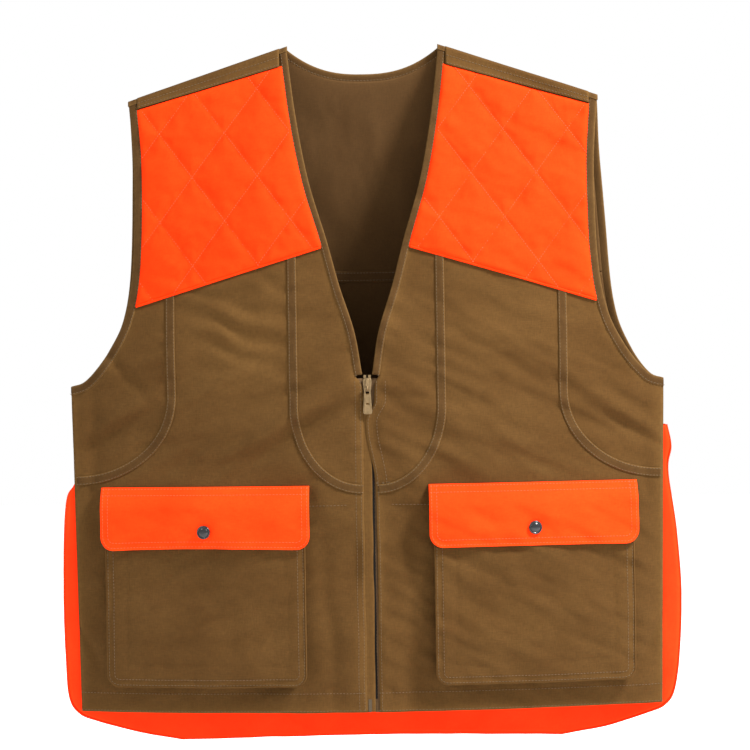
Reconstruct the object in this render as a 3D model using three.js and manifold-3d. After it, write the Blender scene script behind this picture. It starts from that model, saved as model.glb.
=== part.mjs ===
// Hunting vest with quilted shoulders, flap pockets, a front zip and a game bag.
// Millimetres, +Z up, front towards -Y, +X to the wearer's left.
// The origin is on the hanger line, midway between the two neck points.
import * as THREE from "three";
import { mergeVertices } from "three/addons/utils/BufferGeometryUtils.js";
import Module from "manifold-3d";

// Overall garment
const SIDE_HALF_WIDTH = 305; // side seam to centre at the underarm
const HEM_TAPER = 6; // how far each side seam comes in at the hem
const HEM_Z = -678; // lower edge of the body
const UNDERARM_Z = -344;
const FRONT_BULGE = 45; // how far the chest stands in front of the side seams
const BACK_BULGE = 35;
const BULGE_LENGTH = 280; // distance below the shoulder where the bulge is full
const BULGE_EASE = 25;
const SHOULDER_EASE = 30;

// Cloth thicknesses and clearances
const CANVAS = 1.2;
const TAPE = 1.2;
const SEAM_GAP = 0.3; // each sheet's distance from the seam plane
const LAYER_GAP = 0.45; // between two layers of cloth
const EDGE_GAP = 0.3; // between a sheet's edge and the binding that caps it
const SPLIT_GAP = 0.4; // from the fold line to each of the two sheets that meet there

// Neck and shoulder
const NECK_HALF_WIDTH = 78;
const NECK_BOTTOM_HALF = 5; // half the opening just above the zip
const NECK_BOTTOM_RISE = 8; // neck bottom above the underarm
const BACK_NECK_DIP = 26;
const BACK_NECK_POWER = 2.5;
const NECK_BINDING_WIDTH = 8;
const SHOULDER_TIP_X = 241;
const SHOULDER_DROP = 54;
// Neck edge, as [share of the way down, share of the way in]
const NECK_SHAPE = [
  [0, 0],
  [0.21, 0.12],
  [0.41, 0.29],
  [0.59, 0.53],
  [0.73, 0.7],
  [0.87, 0.9],
  [1, 1],
];

// Armhole
const ARMHOLE_BINDING_WIDTH = 9;
const ARMHOLE_STATION = 20; // length of edge between two stations
const ARMHOLE_HOLLOW = 5; // how far the armhole's edge comes inside the shoulder tip
const ARMHOLE_HOLLOW_DROP = 70; // where it is furthest in, below the shoulder tip
// The rest of the edge, as [share of the way out to the side seam, height above the underarm]
const ARMHOLE_SHAPE = [
  [0.03, 126],
  [0.17, 69],
  [0.46, 30],
  [0.77, 6],
];
const BACK_ARMHOLE_EXTRA = 6; // the back edge stands this far outside the front one
const BINDING_STANDOFF = 0.8; // binding's face in front of the sheet it caps

// Quilted patch and shoulder strip
const PATCH_THICKNESS = 5;
const STRIP_INNER = 18.5; // height of the shoulder strip at the neck
const STRIP_OUTER = 8; // height of the strip at the shoulder tip
const PATCH_INNER_LENGTH = 188;
const PATCH_OUTER_LENGTH = 201;

// Seam tapes on the front
const TAPE_WIDTH = 10;
const BIB_X = 75;
const BIB_BEND = 24; // where the bib tape starts to curve, below the underarm
const BIB_END = 108; // where it meets the front edge, below the underarm
const SIDE_TAPE_X = 200;
const SIDE_TAPE_BEND = 8;
const SIDE_TAPE_END = 97;
const FRONT_EDGE_X = 6; // front edge of each front to the centre

// Back
const YOKE_Z = -234;
const YOKE_TAPE_HEIGHT = 12;
const YOKE_TAPE_THICKNESS = 0.8;
const HEM_HEIGHT = 20;
const HEM_SIDE_INSET = 10; // each hem's end inside the side seam
const HEM_FACING_GAP = 1.8; // between a front's hem and its facing

// Zip
const FACING_WIDTH = 24;
const FACING_THICKNESS = 1;
const FACING_TOP_DROP = 3; // facing's top below the zip's
const ZIP_END_RISE = 1; // box and pin stand this far above the hem
const ZIP_END_STEP = 0.1; // box reaches in past the tooth tips, the pin stops short of them
const ZIP_TAPE_THICKNESS = 0.6;
const ZIP_TAPE_WIDTH = 12;
const TOOTH_PITCH = 5;
const TOOTH_HEIGHT = 3;
const TOOTH_TIP_X = 0.6;
const BEAD_INNER_X = 2.2;
const BEAD_OUTER_X = 3.5;
const CHAIN_THICKNESS = 2.6;
const STOP_HEIGHT = 3;
const STOP_REACH = 1; // top stop's reach past its bead
const BOX_HEIGHT = 12;
const BOX_THICKNESS = 3.4;
const PIN_THICKNESS = 2.2;
const SLIDER_HEIGHT = 13;
const SLIDER_HALF_WIDTH = 4.4;
const SLIDER_PLATE = 1.4;
const SLIDER_CLEARANCE = 0.4;
const SLIDER_WEB = 0.6;
const BAIL_OUTER = 2.6;
const BAIL_INNER = 1.2;
const BAIL_WIDTH = 2.4;
const BAIL_REACH = 2.2;
const BAIL_RISE = 0.4; // bail's lower side above the slider's lower end
const PULL_LENGTH = 26;
const PULL_THICKNESS = 1.2;
const PULL_TOP_HALF = 3.2;
const PULL_BOTTOM_HALF = 4.5;
const PULL_BAR_HALF = 0.7; // half the bar that sits in the bail
const PULL_CORNER = 2; // lower corner's cut across
const PULL_CORNER_RISE = 3; // and up
const PULL_SLOT_GAP = 0.5; // between the bail and each side of the slot
const GRIP_HOLE_RADIUS = 1.8;
const GRIP_HOLE_DROP = 15.6; // hole's centre below the bail

// Pockets and flaps
const POCKET_WIDTH = 205;
const POCKET_DEPTH = 12;
const POCKET_HEM_GAP = 27;
const POCKET_CORNER = 13;
const POCKET_CLOTH = 1.5;
const FLAP_TOP_DROP = 104; // flap seam below the underarm
const FLAP_OVERHANG = 4.5; // flap's side past the pocket's, each side
const FLAP_LENGTH = 64;
const FLAP_CLOTH = 2.5;
const FLAP_CORNER = 14;
const FLAP_GAP = 3; // between flap and pocket front, filled by the snap
const FLAP_SEAM_GAP = 0.8;
const FLAP_COVER = 24; // pocket mouth below the flap seam
const FLAP_RAMP_END = 1; // flap is level from this far above the pocket mouth

// Snap fastener
const SNAP_RISE = 19; // snap centre above the flap's lower edge
const CAP_RADIUS = 6.85;
const CAP_HEIGHT = 2.6;
// Cap's edge, as [inside the cap radius, height above its seat]
const CAP_EDGE = [
  [0, 0],
  [0, 0.8],
  [0.7, 1.3],
  [1.6, 1.2],
  [2.6, 2],
  [4.6, 2.5],
];
const SOCKET_RADIUS = 5.5;
const SOCKET_HOLE = 2.6;
const SOCKET_HEIGHT = 1.2;
const STUD_RADIUS = 4;
const STUD_BASE = 0.6;
const STUD_POST_RADIUS = 1.8;
const STUD_HEIGHT = 1.8;
const SNAP_GAP = 0.3;

// Game bag
const BAG_DEPTH = 24;
const BAG_BULGE = 14;
const BAG_DROP = 35; // bag's bottom below the hem
const BAG_TOP_DROP = 48; // bag's top edge below the underarm
const BAG_CLOTH = 1.4;
const LINER_CLOTH = 0.8;
const BAG_FLAT_INSET = 109; // where the flat bottom ends, inside the side seam
const BAG_BINDING_HEIGHT = 9;
const BAG_BINDING_BACK = 0.2; // binding's inner face, inside the panel's
const BAG_BINDING_FRONT = 0.6; // binding's outer face, outside the panel's
const BAG_CORNER_ROOM = 20; // least height between the bag's side and its lower corner
const BAG_BULGE_START = 60; // the panel's bulge starts this far above the bag's top
const BAG_BULGE_SIDE = 10; // and this far outside the side seam
const LINER_TOP_DROP = 1; // liner's top edge below the bag's
// Bag side, as [how far outside the side seam, drop below the bag's top]
const BAG_SIDE = [
  [4, 0],
  [8, 23],
  [4.5, 48],
  [12, 108],
  [16, 168],
  [14, 228],
];
// Bag's lower corner, as [inside (-) or outside the side seam, height above the bag's bottom]
const BAG_CORNER = [
  [8, 49],
  [-2, 32],
  [-21, 23],
  [-65, 9],
];

// ---- Small geometry kit ----

// Turns points and triangles into one closed mesh geometry that faces out.
function closedGeometry(points, triangles) {
  let volume = 0;
  for (const [a, b, c] of triangles) {
    const cross = new THREE.Vector3().crossVectors(points[b], points[c]);
    volume += points[a].dot(cross);
  }
  const geometry = new THREE.BufferGeometry();
  geometry.setFromPoints(points);
  const index = [];
  for (const [a, b, c] of triangles) {
    if (volume > 0) index.push(a, b, c);
    else index.push(a, c, b);
  }
  geometry.setIndex(index);
  geometry.computeVertexNormals();
  return geometry;
}

// A geometry rebuilt to face out, with each point placed by the given function.
function rebuilt(geometry, place) {
  const position = geometry.getAttribute("position");
  const points = [];
  for (let i = 0; i < position.count; i++) {
    const placed = place(position.getX(i), position.getY(i), position.getZ(i));
    points.push(new THREE.Vector3(...placed));
  }
  const source = geometry.index ? geometry.index.array : points.map((_, i) => i);
  const triangles = [];
  for (let i = 0; i < source.length; i += 3) {
    triangles.push([source[i], source[i + 1], source[i + 2]]);
  }
  return closedGeometry(points, triangles);
}

// A sheet with thickness, from two grids of points with the same rows and columns.
function slab(faceA, faceB) {
  const rows = faceA.length;
  const cols = faceA[0].length;
  const points = [...faceA.flat(), ...faceB.flat()];
  const shift = rows * cols;
  const at = (r, c) => r * cols + c;
  const triangles = [];
  for (let r = 0; r < rows - 1; r++) {
    for (let c = 0; c < cols - 1; c++) {
      const [p, q, s, t] = [at(r, c), at(r, c + 1), at(r + 1, c + 1), at(r + 1, c)];
      triangles.push([p, q, s], [p, s, t]);
      triangles.push([p + shift, s + shift, q + shift], [p + shift, t + shift, s + shift]);
    }
  }
  const rim = [];
  for (let c = 0; c < cols - 1; c++) rim.push(at(0, c));
  for (let r = 0; r < rows - 1; r++) rim.push(at(r, cols - 1));
  for (let c = cols - 1; c > 0; c--) rim.push(at(rows - 1, c));
  for (let r = rows - 1; r > 0; r--) rim.push(at(r, 0));
  rim.forEach((p, i) => {
    const q = rim[(i + 1) % rim.length];
    triangles.push([q, p, p + shift], [q, p + shift, q + shift]);
  });
  return closedGeometry(points, triangles);
}

// A ribbon swept through stations of four corner points each.
function ribbon(stations, isRing) {
  const points = stations.flat();
  const triangles = [];
  const count = stations.length;
  const last = isRing ? count : count - 1;
  for (let s = 0; s < last; s++) {
    const next = (s + 1) % count;
    for (let k = 0; k < 4; k++) {
      const [a, b] = [s * 4 + k, s * 4 + ((k + 1) % 4)];
      const [c, d] = [next * 4 + ((k + 1) % 4), next * 4 + k];
      triangles.push([a, b, c], [a, c, d]);
    }
  }
  if (!isRing) {
    const end = (count - 1) * 4;
    triangles.push([0, 2, 1], [0, 3, 2]);
    triangles.push([end, end + 1, end + 2], [end, end + 2, end + 3]);
  }
  return closedGeometry(points, triangles);
}

// A flat plate: an outline in X and Z, between two Y values.
function plate(outline, yFront, yBack) {
  const flat = outline.map(([x, z]) => new THREE.Vector2(x, z));
  const caps = THREE.ShapeUtils.triangulateShape(flat, []);
  const front = outline.map(([x, z]) => new THREE.Vector3(x, yFront, z));
  const back = outline.map(([x, z]) => new THREE.Vector3(x, yBack, z));
  const n = outline.length;
  const turn = THREE.ShapeUtils.isClockWise(flat);
  const triangles = [];
  for (const [a, b, c] of caps) {
    triangles.push([a, b, c], [a + n, c + n, b + n]);
  }
  for (let i = 0; i < n; i++) {
    const j = (i + 1) % n;
    if (turn) triangles.push([i, j, j + n], [i, j + n, i + n]);
    else triangles.push([j, i, i + n], [j, i + n, j + n]);
  }
  return closedGeometry([...front, ...back], triangles);
}

// ---- Joining two closed shapes into one ----

const wasm = await Module();
wasm.setup();

function toSolid(geometry) {
  const bare = geometry.clone();
  bare.deleteAttribute("normal");
  bare.deleteAttribute("uv");
  const merged = mergeVertices(bare, 1e-4);
  return new wasm.Manifold(
    new wasm.Mesh({
      numProp: 3,
      vertProperties: merged.attributes.position.array,
      triVerts: new Uint32Array(merged.index.array),
    }),
  );
}

function joined(first, second) {
  const mesh = toSolid(first).add(toSolid(second)).getMesh();
  const geometry = new THREE.BufferGeometry();
  geometry.setAttribute("position", new THREE.BufferAttribute(mesh.vertProperties, 3));
  geometry.setIndex(new THREE.BufferAttribute(mesh.triVerts, 1));
  geometry.computeVertexNormals();
  return geometry;
}

const lerp = THREE.MathUtils.lerp;
const evenly = (count) => Array.from({ length: count + 1 }, (_, i) => i / count);

// ---- The garment's surface ----

const SHOULDER_SLOPE = SHOULDER_DROP / (SHOULDER_TIP_X - NECK_HALF_WIDTH);
const NECK_BOTTOM_Z = UNDERARM_Z + NECK_BOTTOM_RISE;
const SEAM_FACE = SEAM_GAP + CANVAS; // outer face of each sheet at a seam

function shoulderZ(x) {
  return -SHOULDER_SLOPE * (Math.abs(x) - NECK_HALF_WIDTH);
}

// Side seam's distance from the centre at height z.
function sideX(z) {
  const share = THREE.MathUtils.clamp((UNDERARM_Z - z) / (UNDERARM_Z - HEM_Z), 0, 1);
  return SIDE_HALF_WIDTH - HEM_TAPER * share;
}

// 0 at the seams, 1 where the garment is fullest.
function fullness(x, z) {
  const outward = Math.abs(x) - NECK_HALF_WIDTH;
  const softTop = (-SHOULDER_SLOPE * (Math.hypot(outward, SHOULDER_EASE) + outward)) / 2;
  const drop = softTop - z;
  const eased = (Math.hypot(drop, BULGE_EASE) + drop) / 2;
  const down = Math.sin((Math.PI / 2) * Math.min(1, eased / BULGE_LENGTH));
  const share = Math.min(1, Math.abs(x) / sideX(z));
  return down * (1 - share * share);
}

// Y of the front cloth's outer face, moved forward by off.
function frontY(x, z, off = 0) {
  return -SEAM_FACE - FRONT_BULGE * fullness(x, z) - off;
}

// Y of the back cloth's outer face, moved back by off.
function backY(x, z, off = 0) {
  return SEAM_FACE + BACK_BULGE * fullness(x, z) + off;
}

// Neck edge's distance from the centre at height z on the front.
function neckX(z) {
  const share = THREE.MathUtils.clamp(z / NECK_BOTTOM_Z, 0, 1);
  let i = 1;
  while (i < NECK_SHAPE.length - 1 && NECK_SHAPE[i][0] < share) i++;
  const [a, b] = [NECK_SHAPE[i - 1], NECK_SHAPE[i]];
  const inward = lerp(a[1], b[1], (share - a[0]) / (b[0] - a[0]));
  return lerp(NECK_HALF_WIDTH, NECK_BOTTOM_HALF, inward);
}

function backNeckZ(x) {
  const share = Math.min(1, Math.abs(x) / NECK_HALF_WIDTH);
  return -BACK_NECK_DIP * (1 - share ** BACK_NECK_POWER);
}

// Armhole edge from the shoulder tip to the side seam, s from 0 to 1.
const HOLLOW_X = SHOULDER_TIP_X - ARMHOLE_HOLLOW;
const armholeCurve = new THREE.CatmullRomCurve3(
  [
    [SHOULDER_TIP_X, -SHOULDER_DROP],
    [HOLLOW_X, -SHOULDER_DROP - ARMHOLE_HOLLOW_DROP],
    ...ARMHOLE_SHAPE.map(([share, rise]) => [
      lerp(HOLLOW_X, SIDE_HALF_WIDTH, share),
      UNDERARM_Z + rise,
    ]),
    [SIDE_HALF_WIDTH, UNDERARM_Z],
  ].map(([x, z]) => new THREE.Vector3(x, 0, z)),
  false,
  "centripetal",
);

const ARMHOLE_STEPS = Math.ceil(armholeCurve.getLength() / ARMHOLE_STATION);

// Armhole point at s, moved in from the edge; extra moves it out in the middle.
function armhole(s, inset, extra) {
  const p = armholeCurve.getPointAt(s);
  const t = armholeCurve.getTangentAt(s);
  let [nx, nz] = [t.z, -t.x];
  if (s === 0) [nx, nz] = [-1, SHOULDER_SLOPE];
  if (s === 1) [nx, nz] = [0, -1];
  const size = Math.hypot(nx, nz);
  const bump = extra * Math.sin(Math.PI * s);
  return [p.x + bump + (nx / size) * inset, p.z + (nz / size) * inset];
}

// X of the cloth's armhole side at height z, for sheets inset from the edge.
function armholeX(z, inset, extra) {
  let [low, high] = [0, 1];
  for (let i = 0; i < 30; i++) {
    const middle = (low + high) / 2;
    if (armhole(middle, inset, extra)[1] > z) low = middle;
    else high = middle;
  }
  return armhole((low + high) / 2, inset, extra)[0];
}

// Fold line between the fixed upper fronts and the opening lower fronts.
const SHEET_INSET = ARMHOLE_BINDING_WIDTH + 2 * EDGE_GAP;
const NECK_INSET = NECK_BINDING_WIDTH + 2 * EDGE_GAP;
const SPLIT_INNER_X = NECK_BOTTOM_HALF + NECK_INSET;
const SPLIT_OUTER_Z = UNDERARM_Z - SHEET_INSET;

function splitZ(x) {
  const share = (Math.abs(x) - SPLIT_INNER_X) / (SIDE_HALF_WIDTH - SPLIT_INNER_X);
  return lerp(NECK_BOTTOM_Z, SPLIT_OUTER_Z, share);
}

// A sheet over a grid of [x, z] cells, between two offsets of one surface.
function sheet(grid, surface, near, far) {
  const face = (off) =>
    grid.map((row) => row.map(([x, z]) => new THREE.Vector3(x, surface(x, z, off), z)));
  return slab(face(near), face(far));
}

// A flat tape along a path of [x, z] points, on the front surface.
function frontTape(path, width, near, far) {
  const stations = path.map(([x, z], i) => {
    const [ax, az] = path[Math.max(0, i - 1)];
    const [bx, bz] = path[Math.min(path.length - 1, i + 1)];
    let [nx, nz] = [-(bz - az), bx - ax];
    const size = Math.hypot(nx, nz);
    nx *= width / 2 / size;
    nz *= width / 2 / size;
    const corner = (sign, off) => {
      const [px, pz] = [x + sign * nx, z + sign * nz];
      return new THREE.Vector3(px, frontY(px, pz, off), pz);
    };
    return [corner(1, near), corner(-1, near), corner(-1, far), corner(1, far)];
  });
  return ribbon(stations, false);
}

// ---- Meshes ----

const CANVAS_LOOK = { color: 0x6e502d, roughness: 0.9, metalness: 0 };
const TRIM_LOOK = { color: 0x5f4526, roughness: 0.9, metalness: 0 };
const ORANGE_LOOK = { color: 0xff4f14, roughness: 0.8, metalness: 0 };
const BLACK_LOOK = { color: 0x14120f, roughness: 0.35, metalness: 0.2 };
const BRASS_LOOK = { color: 0xa98a58, roughness: 0.4, metalness: 0.9 };

const group = new THREE.Group();
group.name = "hunting_vest";

function add(name, geometry, look) {
  const mesh = new THREE.Mesh(geometry, new THREE.MeshStandardMaterial(look));
  mesh.name = name;
  group.add(mesh);
}

// Mirrors a geometry to the side given by sign.
function onSide(geometry, sign) {
  return sign > 0 ? geometry : rebuilt(geometry, (x, y, z) => [-x, y, z]);
}

// Front tape layer: how far its two faces stand in front of the canvas.
const TAPE_NEAR = LAYER_GAP;
const TAPE_FAR = LAYER_GAP + TAPE;

// Upper front: neck side to armhole side, shoulder to fold line.
function upperFrontGrid() {
  const top = [NECK_HALF_WIDTH + NECK_INSET, 0];
  return evenly(ARMHOLE_STEPS).map((v) => {
    const z = lerp(shoulderZ(top[0]), NECK_BOTTOM_Z + SPLIT_GAP, v);
    const inner = [neckX(z) + NECK_INSET, z];
    const outer = armhole(v, SHEET_INSET, 0);
    if (v === 1) {
      inner[0] = SPLIT_INNER_X;
      outer[0] = SIDE_HALF_WIDTH - EDGE_GAP;
      outer[1] = SPLIT_OUTER_Z + SPLIT_GAP;
    }
    return evenly(9).map((u) => [lerp(inner[0], outer[0], u), lerp(inner[1], outer[1], u)]);
  });
}

const PATCH_INNER_TOP = -STRIP_INNER;
const PATCH_OUTER_TOP = -SHOULDER_DROP - STRIP_OUTER;
const PATCH_INNER_BOTTOM = PATCH_INNER_TOP - PATCH_INNER_LENGTH;
const PATCH_OUTER_BOTTOM = PATCH_OUTER_TOP - PATCH_OUTER_LENGTH;

// Shoulder strip: from the patch, over the shoulder line, to the back.
function shoulderStrip() {
  const innerX = NECK_HALF_WIDTH + NECK_INSET + EDGE_GAP;
  const tip = armhole(0, SHEET_INSET + EDGE_GAP, 0);
  const line = evenly(8).map((u) => lerp(innerX, tip[0], u));
  const lowFront = shoulderGrid(
    PATCH_INNER_TOP + EDGE_GAP,
    PATCH_OUTER_TOP + EDGE_GAP,
    PATCH_INNER_BOTTOM,
    PATCH_OUTER_BOTTOM,
    1,
  )[0];
  const face = (off) => {
    const low = lowFront.map(([x, z]) => new THREE.Vector3(x, frontY(x, z, off), z));
    const middle = lowFront.map(([x, z], i) => {
      const [mx, mz] = [(x + line[i]) / 2, (z + shoulderZ(line[i])) / 2];
      return new THREE.Vector3(mx, frontY(mx, mz, off), mz);
    });
    const front = line.map((x) => {
      const z = shoulderZ(x);
      return new THREE.Vector3(x, frontY(x, z, off), z);
    });
    const crown = line.map((x) => new THREE.Vector3(x, 0, shoulderZ(x) + EDGE_GAP + off));
    const back = line.map((x) => {
      const z = shoulderZ(x);
      return new THREE.Vector3(x, backY(x, z, off), z);
    });
    const end = line.map((x) => {
      const z = shoulderZ(x) - STRIP_OUTER;
      return new THREE.Vector3(x, backY(x, z, off), z);
    });
    return [low, middle, front, crown, back, end];
  };
  return slab(face(TAPE_NEAR), face(TAPE_FAR));
}

function shoulderGrid(innerTop, outerTop, innerBottom, outerBottom, rows) {
  return evenly(rows).map((v) => {
    const zi = lerp(innerTop, innerBottom, v);
    const zo = lerp(outerTop, outerBottom, v);
    const inner = neckX(zi) + NECK_INSET;
    const outer = armholeX(zo, SHEET_INSET, 0);
    return evenly(8).map((u) => [lerp(inner, outer, u), lerp(zi, zo, u)]);
  });
}

// Height of the patch's lower edge at x.
function patchBottomZ(x) {
  const inner = neckX(PATCH_INNER_BOTTOM) + NECK_INSET;
  const outer = armholeX(PATCH_OUTER_BOTTOM, SHEET_INSET, 0);
  return lerp(PATCH_INNER_BOTTOM, PATCH_OUTER_BOTTOM, (x - inner) / (outer - inner));
}

// A straight run down from the patch to the fold line.
function tapeRunAbove(x) {
  const top = patchBottomZ(x + TAPE_WIDTH / 2) - LAYER_GAP;
  const bottom = splitZ(x) + SPLIT_GAP * 2;
  return evenly(6).map((v) => [x, lerp(top, bottom, v)]);
}

// A run down from the fold line, then a quarter of an ellipse to the end point.
function tapeRunBelow(x, bendZ, endX, endZ) {
  const path = [];
  const top = splitZ(x) - SPLIT_GAP * 2;
  const straight = Math.max(1, Math.ceil((top - bendZ) / 15));
  for (const v of evenly(straight).slice(0, -1)) {
    path.push([x, lerp(top, bendZ, v)]);
  }
  for (const v of evenly(8)) {
    const angle = (v * Math.PI) / 2;
    path.push([lerp(endX, x, Math.cos(angle)), lerp(bendZ, endZ, Math.sin(angle))]);
  }
  return path;
}

const POCKET_X = (FACING_WIDTH + FRONT_EDGE_X + SIDE_HALF_WIDTH) / 2;
const FLAP_WIDTH = POCKET_WIDTH + 2 * FLAP_OVERHANG;
const FLAP_TOP_Z = UNDERARM_Z - FLAP_TOP_DROP;
const POCKET_TOP_Z = FLAP_TOP_Z - FLAP_COVER;
const POCKET_BOTTOM_Z = HEM_Z + POCKET_HEM_GAP;
const POCKET_FACE = POCKET_DEPTH + POCKET_CLOTH;
const FLAP_NEAR = POCKET_FACE + FLAP_GAP;
const SNAP_Z = FLAP_TOP_Z - FLAP_LENGTH + SNAP_RISE;

// Half width of a panel with two rounded lower corners, at height d above its bottom.
function roundedHalf(half, radius, d) {
  const rise = Math.max(0, radius - d);
  return half - radius + Math.sqrt(radius * radius - rise * rise);
}

function cornerRows(top, bottom, radius) {
  const arc = evenly(4).map((v) => bottom + radius * (1 - Math.cos((v * Math.PI) / 2)));
  const straight = Math.max(2, Math.ceil((top - bottom - radius) / 30));
  const run = evenly(straight).slice(1);
  return [...arc, ...run.map((v) => lerp(bottom + radius, top, v))].reverse();
}

function pocketGrid() {
  return cornerRows(POCKET_TOP_Z, POCKET_BOTTOM_Z, POCKET_CORNER).map((z) => {
    const half = roundedHalf(POCKET_WIDTH / 2, POCKET_CORNER, z - POCKET_BOTTOM_Z);
    return evenly(8).map((u) => [POCKET_X + half * (2 * u - 1), z]);
  });
}

// Pocket side wall: a band round the pocket's sides and bottom.
function pocketGusset() {
  const half = POCKET_WIDTH / 2;
  const left = [];
  for (const v of evenly(5).slice(0, -1)) {
    left.push([-half, lerp(POCKET_TOP_Z, POCKET_BOTTOM_Z + POCKET_CORNER, v), -1, 0]);
  }
  for (const v of evenly(3)) {
    const angle = (v * Math.PI) / 2;
    const [nx, nz] = [-Math.cos(angle), -Math.sin(angle)];
    const centreZ = POCKET_BOTTOM_Z + POCKET_CORNER;
    left.push([-half + POCKET_CORNER * (1 + nx), centreZ + POCKET_CORNER * nz, nx, nz]);
  }
  const middle = [-0.75, -0.5, -0.25, 0, 0.25, 0.5, 0.75].map((share) => [
    share * (half - POCKET_CORNER),
    POCKET_BOTTOM_Z,
    0,
    -1,
  ]);
  const right = left.map(([x, z, nx, nz]) => [-x, z, -nx, nz]).reverse();
  const stations = [...left, ...middle, ...right].map(([dx, z, nx, nz]) => {
    const corner = (inset, off) => {
      const [px, pz] = [POCKET_X + dx - nx * inset, z - nz * inset];
      return new THREE.Vector3(px, frontY(px, pz, off), pz);
    };
    const far = POCKET_DEPTH - LAYER_GAP;
    return [corner(0, LAYER_GAP), corner(0, far), corner(CANVAS, far), corner(CANVAS, LAYER_GAP)];
  });
  return ribbon(stations, false);
}

// Flap: leaves the front at its seam, then lies over the pocket.
function flap() {
  const bottom = FLAP_TOP_Z - FLAP_LENGTH;
  const rampEnd = POCKET_TOP_Z + FLAP_RAMP_END;
  const low = cornerRows(rampEnd, bottom, FLAP_CORNER);
  const rows = [FLAP_TOP_Z, lerp(FLAP_TOP_Z, rampEnd, 0.5), ...low];
  const face = (extra) =>
    rows.map((z) => {
      const half = roundedHalf(FLAP_WIDTH / 2, FLAP_CORNER, z - bottom);
      const ramp = Math.min(1, (FLAP_TOP_Z - z) / (FLAP_TOP_Z - rampEnd));
      const off = lerp(FLAP_SEAM_GAP, FLAP_NEAR, ramp) + extra;
      return evenly(8).map((u) => {
        const x = POCKET_X + half * (2 * u - 1);
        return new THREE.Vector3(x, frontY(x, z, off), z);
      });
    });
  return slab(face(0), face(FLAP_CLOTH));
}

// Turns a lathe profile of [radius, height in front of the canvas] into a snap part.
function snapPart(profile) {
  const lathe = new THREE.LatheGeometry(
    profile.map(([r, h]) => new THREE.Vector2(r, -h)),
    24,
  );
  const step = 1;
  const slope = (frontY(POCKET_X + step, SNAP_Z) - frontY(POCKET_X - step, SNAP_Z)) / 2;
  lathe.rotateZ(Math.atan(slope));
  lathe.translate(POCKET_X, frontY(POCKET_X, SNAP_Z), SNAP_Z);
  return rebuilt(lathe, (x, y, z) => [x, y, z]);
}

function snapCap() {
  const seat = FLAP_NEAR + FLAP_CLOTH + SNAP_GAP;
  return snapPart([
    [0, seat],
    ...CAP_EDGE.map(([inside, rise]) => [CAP_RADIUS - inside, seat + rise]),
    [0, seat + CAP_HEIGHT],
  ]);
}

function snapSocket() {
  const far = FLAP_NEAR - 2 * SNAP_GAP;
  return snapPart([
    [SOCKET_HOLE, far],
    [SOCKET_RADIUS, far],
    [SOCKET_RADIUS, far - SOCKET_HEIGHT],
    [SOCKET_HOLE, far - SOCKET_HEIGHT],
    [SOCKET_HOLE, far],
  ]);
}

function snapStud() {
  const seat = POCKET_FACE + SNAP_GAP;
  return snapPart([
    [0, seat],
    [STUD_RADIUS, seat],
    [STUD_RADIUS, seat + STUD_BASE],
    [STUD_POST_RADIUS, seat + STUD_BASE],
    [STUD_POST_RADIUS, seat + STUD_HEIGHT],
    [0, seat + STUD_HEIGHT],
  ]);
}

// Lower front: front edge to side seam, fold line to hem.
function lowerFrontGrid() {
  return evenly(13).map((v) => {
    const innerZ = lerp(splitZ(SPLIT_INNER_X) - SPLIT_GAP, HEM_Z, v);
    const outerZ = lerp(SPLIT_OUTER_Z - SPLIT_GAP, HEM_Z, v);
    const outer = sideX(outerZ) - EDGE_GAP;
    return evenly(11).map((u) => [lerp(FRONT_EDGE_X, outer, u), lerp(innerZ, outerZ, u)]);
  });
}

function stripGrid(fromX, toX, fromZ, toZ, columns, rows) {
  return evenly(rows).map((v) => {
    const z = lerp(fromZ, toZ, v);
    return evenly(columns).map((u) => [lerp(fromX, toX, u), z]);
  });
}

// Zip heights
const ZIP_TOP_Z = NECK_BOTTOM_Z - SPLIT_GAP * 2;
const CHAIN_TOP_Z = ZIP_TOP_Z - STOP_HEIGHT - SLIDER_CLEARANCE;
const BOX_TOP_Z = HEM_Z + ZIP_END_RISE + BOX_HEIGHT;
const CHAIN_BOTTOM_Z = BOX_TOP_Z + SLIDER_CLEARANCE;
const ZIP_TAPE_OFF = -CANVAS - LAYER_GAP; // tape's front face, behind the canvas face
const ZIP_TAPE_INNER_X = BEAD_OUTER_X + EDGE_GAP;
const CHAIN_Y = frontY(0, HEM_Z, ZIP_TAPE_OFF - ZIP_TAPE_THICKNESS / 2);
const CHAIN_FRONT_Y = CHAIN_Y - CHAIN_THICKNESS / 2;
const CHAIN_BACK_Y = CHAIN_Y + CHAIN_THICKNESS / 2;

// One side's teeth on their bead.
function teeth() {
  const count = Math.floor((CHAIN_TOP_Z - CHAIN_BOTTOM_Z) / TOOTH_PITCH);
  const outline = [
    [BEAD_OUTER_X, CHAIN_BOTTOM_Z],
    [BEAD_OUTER_X, CHAIN_TOP_Z],
    [BEAD_INNER_X, CHAIN_TOP_Z],
  ];
  for (let i = 0; i < count; i++) {
    const top = CHAIN_TOP_Z - i * TOOTH_PITCH - (TOOTH_PITCH - TOOTH_HEIGHT) / 2;
    outline.push([BEAD_INNER_X, top]);
    outline.push([TOOTH_TIP_X, top]);
    outline.push([TOOTH_TIP_X, top - TOOTH_HEIGHT]);
    outline.push([BEAD_INNER_X, top - TOOTH_HEIGHT]);
  }
  outline.push([BEAD_INNER_X, CHAIN_BOTTOM_Z]);
  return plate(outline, CHAIN_FRONT_Y, CHAIN_BACK_Y);
}

function zipBlock(fromX, toX, topZ, height, thickness) {
  const outline = [
    [fromX, topZ - height],
    [toX, topZ - height],
    [toX, topZ],
    [fromX, topZ],
  ];
  return plate(outline, CHAIN_Y - thickness / 2, CHAIN_Y + thickness / 2);
}

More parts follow.
